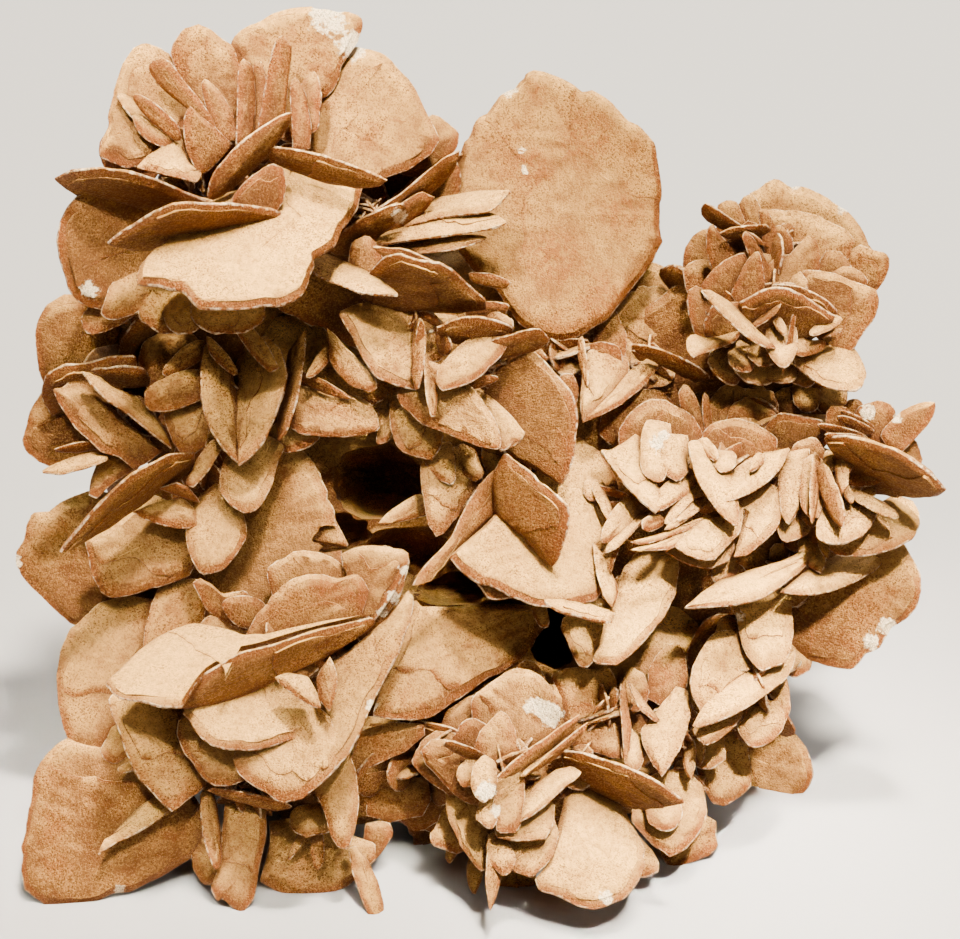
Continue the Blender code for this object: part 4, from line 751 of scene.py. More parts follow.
    "right_rosettes": """
0: 60,26 63,35 70,39 80,41 90,40 97,35 98,22 84,10 66,12 59,18
1: 69,12 69,20 74,28 80,33 86,36 93,35.5 100,32 108,26 113,16 110,2 95,-4 78,2
2: 60,10 65,9.5 72,14 79,19 81,12 83,4 87,-4 91,-11 92,-17 88,-22 80,-16 72,-7 65,2
9: 75,-36 82,-34 90,-32.5 100,-28 110,-24 120,-19 124,-22 112,-27.5 100,-31.5 88,-36 80,-37.5
10: 75,-40 84,-40.5 94,-40 104,-36 112,-31 120,-25 114,-25 100,-31.5 88,-36.5 80,-38.2
12: 62,-42 63,-38 68,-33 75,-27 80,-22 88,-17 84,-23 76,-32 69,-39
20: 155.5,11.1 150.9,1.2 144.6,-5.7 136.2,-11.3 127.9,-14.9 122,-16.5 121.2,-8.2 124.1,-1.9 132.1,4
  142.5,8.6
24: 96.9,-38.5 102.8,-31.2 111.1,-24.9 121.6,-22.8 131.6,-16.5 132.1,-22.8 130,-31.2 123.7,-38.5
  117.4,-44.8 111.1,-45.4 102.8,-42.7
25: 91.3,-40.6 96.5,-33.3 106.9,-24.9 119.5,-22.8 125.8,-29.1 127.9,-39.6 123.7,-46.3 115.3,-49.6
  106.9,-48.3 98.6,-44.8
26: 126.8,-43.7 132.1,-22.8 131.2,-16.5 123.7,-16.5 132.1,-10.3 144.6,-6.1 150.9,-10.3 151.9,-20.7
  148.8,-29.1 142.5,-36.4 134.1,-42.7
27: 148.8,-6.1 149.8,0.2 154,8.6 161.3,13.8 165.5,10.6 163.4,0.2 160.3,-12.4 158.2,-22.8 154,-28.1
  150.5,-22.8
30: 102,-69 110,-62 120,-55 135,-50 150,-46 160,-41 168,-37 168,-44 160,-51 150,-59 142,-64 134,-66.5
  125,-68 112,-69
""",
    "lower_right_rosettes": """
0: 35,-102 42,-99 49,-98 58,-100 65,-99 68,-104 70,-115 71,-130 72,-144 66,-145 56,-141 46,-139 42,-128
  41,-118 38,-110
1: 70,-106 72,-109 76,-128 75,-140 72,-146 71,-130 70,-118
2: 74,-105 79,-111 85,-119 90,-125 88,-126.5 80,-120 76,-112
4: 83,-114 84,-100 88,-92 94,-87 99,-86 103,-92 105,-103 102,-114 92,-119
5: 104,-110 106,-120 104,-130 100,-140 96,-147 91,-154 86,-147 81,-137 80,-130 85,-125 90,-118 98,-108
9: -5,-116 -3,-112 5,-106 12,-101 18,-99 26,-100 32,-104 37,-110 40,-118 41,-122 38,-134 26,-142 8,-140
  -4,-128
10: 18,-98 23,-94.5 28,-96 33,-104 30,-114 18,-112
11: -20,-128 -17,-120 -8,-114 -3,-112 0,-125 -6,-140 -20,-138
12: -22,-130 -28,-134 -33,-140 -35,-146 -30,-152 -22,-159 -14,-164 -6,-168 0,-172 6,-178 16,-170 14,-150
  -5,-132
13: -30,-140 -28,-147 -22,-153 -14,-162 -6,-167 2,-168 8,-158 2,-144 -12,-135 -24,-134
14: -3,-138 0,-130 6,-124 10,-120 14,-122 18,-130 20,-142 14,-152 2,-150
18: -4,-148 -5,-158 -2,-164 2,-167 7,-163 9,-155 8,-146 2,-142
19: 50,-122 42,-127 34,-133 25,-139 16,-146 8,-154 16,-153 25,-147 34,-141 42,-134 48,-128
20: 54,-126 46,-132 36,-140 24,-150 20,-154 29,-150 41,-142 50,-133
21: 51,-151 46,-148 38,-150 28,-157 22,-166 20,-176 26,-173 34,-167 42,-159 49,-154
23: 6,-178 8,-184 16,-186 25,-186 33,-185 37,-178 38,-168 30,-156 12,-158
25: 27,-205 29,-210 36,-213 44,-216 50,-219 57,-220.5 63,-219 67,-217 72,-215 76,-211 80,-205 83,-198
  83,-190 80,-184 76,-176 70,-166 52,-158 42,-164 38,-182 33,-198
26: 10,-199 14,-199.5 20,-202 26,-204 32,-199 37,-193 40,-182 36,-172 20,-172 8,-184
28: 4,-182 3,-195 2.5,-205 4,-216 5,-221 8,-214 10.5,-205 8.5,-192 8,-180
29: -18,-158 -17,-170 -15,-178 -10,-188 -4,-196 0,-201 3,-200 8,-184 8,-168 -4,-156
""",
}


def read_edges(groups):
    """Edges as lists of places, for each group and number."""
    edges = {}
    for group, written in groups.items():
        for word in written.split():
            if word.endswith(":"):
                edge = edges[group, int(word[:-1])] = []
            else:
                u, v = word.split(",")
                edge.append((float(u), float(v)))
    return edges


DRAWN_EDGES = read_edges(EDGES_AS_WRITTEN)
BRUISES = [
    (-76, 226, 9), (-64, 212, 7), (-195, 90, 5), (14, 192, 5), (21, 160, 2), (22, 150, 2), (-180, -210, 3),
    (-40, 127, 4), (63, -214, 4), (-38, -50, 3), (-44, -63, 3.5), (-49, -71, 3), (-54, -118, 3),
    (204, -78, 5), (196, -86, 4), (130, -73, 3), (165, -152, 4), (88, 14, 3.5), (92, 18, 3), (194, 29, 4),
    (208, 26, 3), (35, -122, 6), (28, -118, 5), (3, -160, 5), (8, -170, 3), (182, 131, 3), (158, 142, 3),
    (-232, -45, 3),
]
STAINS = [
    (28, 190, 5), (51, 160, 8), (89, 150, 6), (-80, 184, 7), (-195, 86, 8), (-78, -58, 7), (-64, -60, 8),
    (92, -102, 6), (52, -114, 7), (46, -120, 5), (40, -30, 7), (112, -186, 7), (66, -8, 6), (68, 55, 8),
    (54, 166, 13), (26, 152, 10), (72, 128, 11), (38, 106, 14), (60, 88, 10),
]
print(len(DRAWN_EDGES), "edges drawn by hand,", len(BRUISES), "bruises and", len(STAINS), "stains")

# %% [markdown]
# ## Hearts, inner mass, feet and hidden rosettes
# Between the crystals of a rosette their roots are packed into one another, so each heart gets short
# crossing crystals of its own.  Behind the show side lies the mass from which the rosettes grew, with a
# few deep hollows in it.  The back and the lower sides follow a rule: crystals open like petals round the
# heart of each rosette, each turned by the golden angle from the one before.

# %% Hearts, inner mass, hollows and ties
# Hearts, where the crystals of a rosette have grown into one mass: u, v, w, radius
HEARTS = [
    (-122, 140, 14, 32), (-90, 150, 4, 26), (-152, 146, 18, 18), (-56, 126, 2, 20),
    (-172, 28, -16, 26), (-122, 36, -8, 28), (-138, 0, -2, 22), (-94, 34, -12, 20),
    (-134, 98, 12, 24), (-160, -38, -16, 24),
    (-98, -92, 14, 36), (-66, -92, 0, 22), (-136, -110, 10, 26),
    (-116, -162, -4, 28), (-76, -158, -4, 22),
    (-56, 98, 8, 20), (-30, 72, 4, 26),
    (2, 54, 8, 24), (44, 60, -26, 26), (16, 6, -2, 28), (46, -34, -8, 28),
    (148, 84, -6, 34), (126, 78, 0, 22), (152, 112, -22, 22),
    (86, 52, -38, 24), (140, 28, -24, 24),
    (96, 0, 2, 26), (126, 0, 2, 24), (150, -8, -6, 18),
    (186, -4, 4, 26),
    (160, -54, -24, 28), (132, -92, -16, 26), (82, -60, -8, 24),
    (62, -122, -4, 26), (98, -130, -8, 24), (104, -158, -18, 20),
    (14, -148, 16, 32), (48, -150, 6, 24), (-4, -172, 4, 20), (124, -134, -58, 26),
]

# The masses that all the rosettes have grown from, behind the show side: u, v, w and half sizes
TRUNKS = [
    (-5, 0, -66, 172, 140, 44), (26, -112, -48, 120, 56, 38), (-112, -98, -42, 58, 86, 34),
    (-134, 56, -52, 56, 86, 34), (-72, -152, -36, 58, 32, 24), (38, -158, -36, 54, 30, 22),
]

# Deep hollows between the rosettes, where the inner mass is missing: u, v, w and half sizes
HOLLOWS = [
    (-52, -6, -32, 27, 21, 46), (-38, -46, -28, 30, 20, 42), (-12, -60, -28, 28, 10, 36),
    (37, -86, -30, 14, 17, 42), (-74, -34, -30, 22, 14, 36),
]

# Long inner crystals that tie the outer rosettes to the mass: root u, v, w, tip u, v, w, width, roll
TIES = [
    (-122, 140, 8, -30, 74, -14, 74, 0), (-122, 146, 6, -160, 34, -30, 66, 10),
    (-170, 34, -24, -30, 62, -22, 62, -15), (-128, 30, -20, -98, -92, -6, 84, 10),
    (94, 0, -14, 186, -2, -14, 56, 0), (84, 52, -46, 150, 84, -20, 64, 0),
    (-98, -92, 0, -104, -172, -14, 72, -10), (62, -122, -8, 14, -148, 8, 60, 0),
]
print(len(HEARTS), "hearts,", len(TRUNKS), "masses,", len(HOLLOWS), "hollows and", len(TIES), "ties")

# %% Hidden rosettes and feet
# Rosettes of the back and the lower sides, in mm from the show side's centre, world axes:
# heart x, y, z, reach, and the azimuth and elevation in degrees of the way it faces
FAR_ROSETTES = [
    (-122, 92, 112, 66, 110, 22), (-52, 104, 74, 70, 95, 8), (44, 96, 28, 72, 88, 10),
    (140, 70, 56, 58, 60, 12), (-176, 58, 18, 56, 150, 8), (-104, 96, -12, 70, 105, 0),
    (-14, 104, -36, 74, 92, -4), (86, 84, -44, 70, 72, 0), (160, 22, -40, 50, 30, 0),
    (-164, 34, -78, 58, 150, -10), (-80, 74, -106, 66, 108, -16), (20, 58, -112, 70, 88, -18),
    (104, 40, -112, 62, 55, -16), (-142, -34, -118, 50, 200, -14), (140, -28, -108, 44, 5, -8),
    (-30, -60, -140, 52, 268, -20),
]
FAR_CRYSTALS = 4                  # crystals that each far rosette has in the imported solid

# Smaller rosettes that cover the mass behind and the feet: the same six numbers
COVER_ROSETTES = [
    (60, 121, 36, 44, 80, 22), (110, 104, -3, 50, 66, 8), (10, 118, -10, 46, 92, 2),
    (-28, 126, 34, 42, 98, 24), (120, 106, 47, 42, 60, 24), (20, 123, 70, 38, 84, 40),
    (150, 84, -15, 44, 45, 4), (-66, 114, -2, 44, 108, 6), (-138, 111, 38, 46, 120, 16),
    (-132, 100, -20, 46, 128, 0), (104, 54, -150, 44, 60, -35), (6, 80, -148, 46, 90, -35),
    (-92, 76, -148, 46, 115, -35), (66, -22, -150, 40, 0, -40), (-20, -46, -150, 40, 255, -40),
    (104, 8, -146, 42, 345, -30),
]

# Crystals that reach down to the rest level, world axes: root x, y, z, tip x, y, z, width, roll
FEET = [
    (104, 44, -118, 132, 66, -206, 66, 12), (8, 62, -116, 4, 88, -208, 76, -8),
    (-88, 62, -112, -108, 84, -206, 72, 10), (60, -18, -122, 76, -28, -204, 54, 25),
    (-24, -40, -120, -14, -56, -204, 50, -20),
]
print(len(FAR_ROSETTES) + len(COVER_ROSETTES), "hidden rosettes and", len(FEET), "feet")

# %% [markdown]
# ## One crystal
# A real crystal is a lens a few millimetres thick: a thin worn rim, a bevel some 5 mm wide, then a nearly
# flat face.  It could be a scaled disc, but then the rim would be smooth and every face the same.  Instead
# rings are laid inwards from an edge made of shallow arcs that meet in small notches, because a blade is
# really many thin crystals side by side.  Later growth layers lie on the face as thin plates of their own,
# each stopping short along a broken line, so that the step between them is crisp.

# %% Thickness, wavy lines and uneven faces
THIN = 2.4                        # thickness in mm, before the share for the width
THICKEN = 0.05                    # mm thicker for each mm of width


def ripple(chance, slow, fast, count):
    """A closed wavy line, one value for each point of a loop, mostly between -1 and 1."""
    turn = np.linspace(0.0, 2.0 * math.pi, count, endpoint=False)
    line = np.zeros(count)
    for waves in range(slow, fast + 1):
        line += chance.uniform(0.4, 1.0) * np.cos(waves * turn + chance.uniform(0.0, 6.28))
    return line / math.sqrt(fast - slow + 1)


def swell(chance, xs, ys, wave):
    """Uneven height over a face, from a few plane waves about `wave` mm long."""
    height = np.zeros_like(xs)
    for _ in range(4):
        way = chance.uniform(0.0, 6.28)
        pitch = 6.28 / (wave * chance.uniform(0.7, 1.4))
        start = chance.uniform(0.0, 6.28)
        height += np.cos(pitch * (xs * math.cos(way) + ys * math.sin(way)) + start)
    return 0.5 * height


print("four points of a wavy line:", ripple(random.Random(SEED), 1, 2, 4).round(1))

# %% Arcs, nicks and straight runs
def arcs(chance, count, around, deep):
    """How far the edge lies inside its outline where shallow arcs meet in notches, in mm."""
    walked = np.linspace(0.0, around, count, endpoint=False)
    stops = [0.0]
    while stops[-1] < around:
        stops.append(stops[-1] + chance.uniform(9.0, 34.0))
    stops = np.array(stops) * around / stops[-1]
    number = np.searchsorted(stops, walked, side="right") - 1
    number = np.clip(number, 0, len(stops) - 2)
    share = (walked - stops[number]) / (stops[number + 1] - stops[number])
    notch = np.array([chance.uniform(0.15, 1.0) for _ in stops])[number]
    back = np.array([chance.uniform(0.0, 0.8) for _ in stops])[number]
    return deep * (notch * (1.0 - np.sin(math.pi * share) ** 0.6) + back)


def nicks(chance, count, around, number, deep):
    """How far the edge is broken in at each point of the loop, in mm."""
    walked = np.linspace(0.0, around, count, endpoint=False)
    bite = np.zeros(count)
    for _ in range(number):
        place = chance.uniform(0.0, around)
        reach = chance.uniform(2.0, 7.0)
        gap = np.abs((walked - place + 0.5 * around) % around - 0.5 * around)
        nick = np.clip(2.2 - 2.0 * gap / reach, 0.0, 1.0)
        bite = np.maximum(bite, deep * chance.uniform(0.4, 1.0) * nick)
    return bite


def with_straight_runs(chance, xs, ys, number):
    """The outline with some of its arcs cut short along straight lines, as a crystal grows."""
    for _ in range(number):
        way = chance.uniform(0.0, 6.28)
        reach = xs * math.cos(way) + ys * math.sin(way)
        limit = reach.max() * chance.uniform(0.84, 0.98)
        over = np.maximum(reach - limit, 0.0)
        keep = 1.0 - 0.97 * over / np.maximum(reach, 1.0)
        xs, ys = xs * keep, ys * keep
    return xs, ys


print("a crystal 60 mm wide is", THIN + THICKEN * 60, "mm thick")

# %% [markdown]
# ## Edges drawn one by one
# The largest crystals are known one by one, so their edges are drawn point by point instead of by rule.
# The points lie on a plane just in front of the show side's middle, and each is carried along a line from
# an eye three metres in front of the stone until it meets the crystal's own plane.

# %% Lay a drawn edge on its crystal
EYE = Vector((0.0, 0.25, 3000.0))
DRAWN_LEVEL = 15.0                # w of the plane that the edges are drawn on


def drawn_edge(points, middle, along, across, face):
    """A drawn edge on the crystal's own axes, in mm from its middle."""
    eye = SHOW_SIDE @ EYE
    flat = []
    for u, v in points:
        ray = SHOW_SIDE @ Vector((u, v, DRAWN_LEVEL)) - eye
        spot = eye + ray * ((middle - eye).dot(face) / ray.dot(face)) - middle
        flat.append((spot.dot(along), spot.dot(across)))
    if sum(a[0] * b[1] - a[1] * b[0] for a, b in zip(flat, flat[1:] + flat[:1])) > 0.0:
        flat.reverse()
    return flat


def evenly(flat, pitch):
    """Points evenly spaced round a closed edge, and the way round it."""
    loop = np.array(list(flat) + [flat[0]])
    walked = np.concatenate(([0.0], np.cumsum(np.hypot(*np.diff(loop, axis=0).T))))
    count = int(np.clip(walked[-1] / pitch, 16, 200))
    stops = np.linspace(0.0, walked[-1], count, endpoint=False)
    return np.interp(stops, walked, loop[:, 0]), np.interp(stops, walked, loop[:, 1]), walked[-1]


print("drawn edges are seen from", EYE.z / 1000, "m")

# %% Edge, thickness and unevenness of one crystal
OUTLINE_POINTS = 160
STRAIGHT_RUNS = 6                 # arcs of a rule-made outline that may be cut short
DRAWN_NICKS = 0.45                # a drawn edge has its own unevenness, so it is nicked less
MM_FOR_A_NICK = 60.0              # one nick for each 60 mm of edge


class Crystal:
    """One crystal: its own axes, its edge, and how high its two faces stand."""

    def __init__(self, row, outward, seed, pitch=2.5, coarse=2.3, drawn=None):
        root, tip, width, roll, outline = row
        chance = random.Random(seed)
        self.seed, self.pitch, self.coarse = seed, pitch, coarse
        length = (tip - root).length
        axes = frame_along(tip - root, roll, outward)
        self.along, self.across, self.face = (np.array(axis) for axis in axes)
        middle = root.lerp(tip, 0.5)
        self.middle = np.array(middle)
        if drawn:
            xs, ys, around = evenly(drawn_edge(drawn, middle, *axes), pitch)
            deep = DRAWN_NICKS
        else:
            xs, ys, _ = even_outline(outline, length, width, OUTLINE_POINTS)
            xs, ys = with_straight_runs(chance, xs, ys, STRAIGHT_RUNS)
            xs, ys, around = evenly(np.stack((xs, ys), axis=1), pitch)
            deep = 1.0
        self.centre = np.array((0.5 * (xs.min() + xs.max()), 0.5 * (ys.min() + ys.max())))
        xs, ys = xs - self.centre[0], ys - self.centre[1]
        self.half = np.array((0.5 * np.ptp(xs), 0.5 * np.ptp(ys)))
        self.small = 2.0 * min(self.half)
        count = len(xs)
        bite = arcs(chance, count, around, deep * min(1.15, 0.035 * self.small))
        deepest = deep * min(2.2, 0.05 * self.small)
        bite = bite + nicks(chance, count, around, int(around / MM_FOR_A_NICK), deepest)
        keep = 1.0 + deep * 0.008 * ripple(chance, 3, 9, count) - bite / np.maximum(np.hypot(xs, ys), 4.0)
        self.edge = xs * keep, ys * keep
        self.thick = min(THIN + THICKEN * self.small, 0.24 * self.small)
        self.bevel = min(chance.uniform(3.0, 6.0), 0.2 * self.small)
        self.rim = np.clip(0.50 + 0.18 * ripple(chance, 3, 14, count), 0.2, 0.9) * min(1.0, self.small / 24.0)
        self.bend = chance.uniform(-1.0, 1.0)

    def inward(self, edge, inset):
        """An edge drawn in by `inset` mm."""
        return edge[0] * (1.0 - inset / self.half[0]), edge[1] * (1.0 - inset / self.half[1])

    def bow(self, x, y):
        """How far the whole plate is bent out of its plane."""
        waves = swell(random.Random(self.seed + 5), x, y, 1.3 * self.small)
        return 0.006 * self.small * waves + 0.016 * self.small * self.bend * ((y / self.half[1]) ** 2 - 0.4)

    def uneven(self, x, y, side):
        """Slight unevenness of one face, in mm."""
        return 0.15 * swell(random.Random(self.seed + 11 + int(side)), x, y, 9.0)

    def spots(self, x, y, lift):
        """Places in the row's axes for points of the crystal."""
        lift = lift + self.bow(x, y)
        return (self.middle + (x + self.centre[0])[:, None] * self.along
                + (y + self.centre[1])[:, None] * self.across + lift[:, None] * self.face)

    def shape(self, rings, number):
        """Places, faces and notes of a stack of rings, closed by a fan at both ends."""
        count = len(rings[0][0])
        own_noise = 7.0 * number + self.seed % 97
        places, inward, flat = [], [], []
        for x, y, lift, inset in rings:
            places.append(self.spots(x, y, lift))
            inward.append(np.broadcast_to(inset, x.shape))
            flat.append(np.stack((x, y, np.full_like(x, own_noise)), axis=1))
        for notes in (places, inward, flat):
            notes += [end.mean(axis=0, keepdims=True) for end in (notes[0], notes[-1])]
        faces = []
        following = [(i + 1) % count for i in range(count)]
        for k in range(len(rings) - 1):
            for i, j in enumerate(following):
                faces.append((k * count + i, k * count + j, (k + 1) * count + j, (k + 1) * count + i))
        first, last = len(rings) * count, (len(rings) - 1) * count
        for i, j in enumerate(following):
            faces.append((j, i, first))
            faces.append((last + i, last + j, first + 1))
        return np.concatenate(places), faces, np.concatenate(inward), np.concatenate(flat)


print("a crystal's edge starts from", OUTLINE_POINTS, "points or from its drawn edge")

# %% The lens itself
WORN_STEP = 0.45                  # from the inner end of the bevel to the flat of the face, mm


def lens_body(crystal):
    """The lens itself, from the middle of its back, round its rim, to the middle of its face."""
    count = len(crystal.edge[0])
    middle = 0.44 * crystal.small
    stack = []
    for side in (-1.0, 1.0):
        chance = random.Random(crystal.seed * 2 + int(side))
        shoulder = crystal.bevel * np.clip(1.0 + 0.25 * ripple(chance, 1, 9, count), 0.6, 1.5)
        insets = [np.zeros(count), np.full(count, 0.08 * crystal.bevel), shoulder, shoulder + WORN_STEP]
        heights = [crystal.rim, crystal.rim + 0.12 * (0.5 * crystal.thick - crystal.rim)]
        heights += [np.full(count, 0.46 * crystal.thick), np.full(count, 0.5 * crystal.thick)]
        inner = max(1, round((middle - crystal.bevel) / (crystal.coarse * crystal.pitch)))
        for i in range(inner):
            insets.append(shoulder + WORN_STEP + (middle - shoulder - WORN_STEP) * (i + 1) / inner)
            heights.append(np.full(count, 0.5 * crystal.thick + 0.02 * (i + 1)))
        rings = []
        for inset, height in zip(insets, heights):
            x, y = crystal.inward(crystal.edge, inset)
            flatness = np.clip(inset / crystal.bevel, 0.0, 1.0)
            rings.append((x, y, side * (height + flatness * crystal.uneven(x, y, side)), inset))
        stack.append(rings)
    return crystal.shape(stack[0][::-1] + stack[1], 0)


print("a lens has a rim, a bevel and a face on each side")

# %% Later growth layers
LAYER_LIFT = 0.25                 # from a layer's top edge to the flat of its top, mm
LAYER_NOTE = 1.8                  # a layer counts as this far from the rim, mm
EDGE_WORN = 0.15                  # how much lower the top edge is than the flat, mm
SKIRT = 0.15                      # height that a layer's sides start from, as a share of the thickness


def broken_line(chance, small, sideways, reach):
    """How far out a layer stops, for each place sideways: a slow wave with a fine one on it."""
    straight = np.zeros_like(sideways)
    broken = reach + 0.07 * small * swell(chance, sideways, straight, 0.55 * small)
    return broken + 0.5 * swell(chance, sideways, straight, 6.0)


def growth_layer(crystal, number, reach):
    """A thin later growth layer on the face, which stops short along a broken line."""
    chance = random.Random(crystal.seed * 5 + number)
    count = len(crystal.edge[0])
    gap = crystal.bevel * np.clip(0.9 + 0.3 * ripple(chance, 2, 9, count), 0.6, 1.4)
    x, y = crystal.inward(crystal.edge, gap)
    way = chance.uniform(0.0, 6.28)
    out, side = np.array((math.cos(way), math.sin(way))), np.array((-math.sin(way), math.cos(way)))
    far, sideways = x * out[0] + y * out[1], x * side[0] + y * side[1]
    broken = broken_line(chance, crystal.small, sideways, reach * far.max())
    in_front = sideways[far > broken]
    if len(in_front):
        order = np.argsort(sideways)
        held = np.clip(sideways, in_front.min(), in_front.max())
        broken = np.interp(held, sideways[order], broken[order])
        sideways = held + 0.01 * (sideways - held)
    behind = np.maximum(far - broken, 0.0)
    far = broken + behind
    x, y = far * out[0] + sideways * side[0], far * out[1] + sideways * side[1]
    step = chance.uniform(0.45, 1.0) - 0.1 * number
    fall = step * (1.25 * behind / (far.max() - broken.mean()) - 1.0)
    cx, cy, middle_fall = x.mean(), y.mean(), fall.mean()
    inner = max(2, round(0.40 * crystal.small / (crystal.coarse * crystal.pitch)))
    insets = [0.0, 0.0, LAYER_LIFT]
    insets += [LAYER_LIFT + 0.38 * crystal.small * (i + 1) / inner for i in range(inner)]
    made = []
    for ring, inset in enumerate(insets):
        keep = max(1.0 - inset / (0.5 * crystal.small), 0.04)
        rx, ry = cx + (x - cx) * keep, cy + (y - cy) * keep
        if ring == 0:
            height = np.full(count, SKIRT * crystal.thick)
        else:
            worn = EDGE_WORN if ring == 1 else 0.0
            height = 0.5 * crystal.thick - (middle_fall + (fall - middle_fall) * keep) - worn
        made.append((rx, ry, height + crystal.uneven(rx, ry, 1.0), LAYER_NOTE + inset + behind))
    return crystal.shape(made, number)


print("a layer's top edge is", EDGE_WORN, "mm low and", LAYER_LIFT, "mm outside its flat")

# %% [markdown]
# ## From lists of numbers to a mesh
# Besides its shape each crystal carries notes that its finish reads later: how far a point is from the
# rim, where it is on the flat face, the crystal's tone (at random for most, and kept low on the inner
# mass, ties and hearts as painted shade), and how bruised or amber it is.  They are kept as attributes of
# the face corners, because corners keep their own values when crystals are joined.

# %% Build a helper mesh with its notes
MARKED_FROM = -50.0               # only crystals in front of this w are bruised or stained


def marks(places, spots):
    """How much each place is inside any of the round spots, which are drawn as the edges are."""
    local = places @ np.array(SHOW_SIDE)
    deep = (EYE.z - DRAWN_LEVEL) / (EYE.z - local[:, 2])
    seen_u, seen_v = local[:, 0] * deep, local[:, 1] * deep
    mark = np.zeros(len(places))
    for u, v, radius in spots:
        mark = np.maximum(mark, np.clip(1.6 - np.hypot(seen_u - u, seen_v - v) / radius, 0.0, 1.0))
    return np.where(local[:, 2] > MARKED_FROM, mark, 0.0)


def new_crystal(name, shape, tone):
    """A mesh of the row's axes in mm becomes an object in metres that carries its notes."""
    places, faces, inward, flat = shape
    bruised, stained = marks(places, BRUISES), marks(places, STAINS)
    places = (places - np.array(ORIGIN)) * MM
    mesh = bpy.data.meshes.new(name)
    mesh.from_pydata(places.tolist(), [], faces)
    corners = np.zeros(len(mesh.loops), dtype=np.int32)
    mesh.loops.foreach_get("vertex_index", corners)
    notes = {"rim_mm": inward, "tone": np.full(len(inward), tone), "bruised": bruised, "stained": stained}
    for label, values in notes.items():
        note = mesh.attributes.new(label, "FLOAT", "CORNER")
        note.data.foreach_set("value", values[corners].astype(np.float32))
    note = mesh.attributes.new("flat_mm", "FLOAT_VECTOR", "CORNER")
    note.data.foreach_set("vector", flat[corners].astype(np.float32).ravel())
    made = bpy.data.objects.new(name, mesh)
    bpy.context.scene.collection.objects.link(made)
    return made


print("marks are made on crystals in front of w", MARKED_FROM)

# %% A crystal with its layers, and the crystals of the show side
LAYERS_FROM = (24, 50)            # mm of width from which a crystal has its first and second layer
LAYER_REACH = (-0.30, 0.22)       # how far out each layer stops, as a share of the crystal


def crystal_with_layers(name, row, outward, seed, tone, **detail):
    """A crystal and the growth layers that its size calls for."""
    crystal = Crystal(row, outward, seed, **detail)
    made = [new_crystal(name, lens_body(crystal), tone)]
    wanted = sum(crystal.small >= width for width in LAYERS_FROM)
    for number in range(wanted):
        reach = LAYER_REACH[number] + 0.25 * random.Random(seed + number).uniform(-1.0, 1.0)
        made.append(new_crystal(name, growth_layer(crystal, number, reach), tone + 0.08 * (number + 1)))
    return made


def show_side_crystals(name, rows, seed):
    """The crystals of one group of rows, with their drawn edges where there are any."""
    made = []
    for number, (ru, rv, rw, tu, tv, tw, width, roll, outline) in enumerate(rows):
        root = SHOW_SIDE @ Vector((ru, rv, rw))
        tip = SHOW_SIDE @ Vector((tu, tv, tw))
        own = seed * 100 + number
        made += crystal_with_layers(f"{name}_{number}", (root, tip, width, roll, outline), W_AXIS, own,
                                    random.Random(own).random(), drawn=DRAWN_EDGES.get((name, number)))
    return made


print("a crystal has layers from widths of", LAYERS_FROM, "mm")

# %% [markdown]
# ## Rule-made crystals
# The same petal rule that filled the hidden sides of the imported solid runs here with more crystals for
# each rosette.  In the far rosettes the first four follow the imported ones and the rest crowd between
# them; the smaller rosettes that cover the mass and the feet are here only.  The crystals of a heart lean
# every way, and the mass behind is a ball with soft lumps.

# %% Hidden rosettes by rule
MORE_CRYSTALS = 9                 # crystals of each hidden rosette besides the first four
NARROWER, SHORTER = 0.8, 0.9      # size of those crystals beside the first four
FAR_DETAIL = {"pitch": 5.6, "coarse": 3.0}


def far_rosette(number, x, y, z, reach, azimuth, elevation):
    """Crystals that open like petals, the inner ones steep and the outer ones flat."""
    chance = random.Random(SEED + number)
    heart = Vector((x, y, z))
    turn = math.radians(azimuth)
    rise = math.radians(elevation)
    facing = Vector((math.cos(turn) * math.cos(rise), math.sin(turn) * math.cos(rise), math.sin(rise)))
    side = Vector((-math.sin(turn), math.cos(turn), 0.0))
    up = facing.cross(side)
    made = []
    for i in range(FAR_CRYSTALS + MORE_CRYSTALS):
        if i < FAR_CRYSTALS:
            share = (i + 0.5) / FAR_CRYSTALS
        else:
            share = (i - FAR_CRYSTALS + 0.5) / MORE_CRYSTALS
        spin = GOLDEN * i + number
        opening = math.radians(22.0 + 72.0 * share + chance.uniform(-8.0, 8.0))
        length = reach * (0.62 + 0.45 * share) * chance.uniform(0.85, 1.1)
        spoke = side * math.cos(spin) + up * math.sin(spin)
        aim = facing * math.cos(opening) + spoke * math.sin(opening)
        root = heart - facing * 0.12 * reach + spoke * 0.05 * reach
        width = length * chance.uniform(0.75, 1.05)
        roll = chance.uniform(-55.0, 55.0)
        outline = LEAF if i % 3 == 2 else ROUND
        if i >= FAR_CRYSTALS:
            width *= NARROWER
            length *= SHORTER
        own = 9000 + 40 * number + i
        made += crystal_with_layers(f"far_{number}_{i}", (root, root + aim * length, width, roll, outline),
                                    facing, own, random.Random(own).random(), **FAR_DETAIL)
    return made


print("each hidden rosette has", FAR_CRYSTALS + MORE_CRYSTALS, "crystals")

# %% Hearts, ties and feet
HEART_CRYSTALS = 7
HEART_DETAIL = {"pitch": 4.4, "coarse": 2.8}
TIE_DETAIL = {"pitch": 3.4, "coarse": 3.0}
FOOT_DETAIL = {"pitch": 3.6, "coarse": 3.0}
# painted shade: the ties lie deep inside, so their tone is set below that of any outer crystal
TIE_SHADE_TONE = -0.2
FOOT_TONE = 0.5


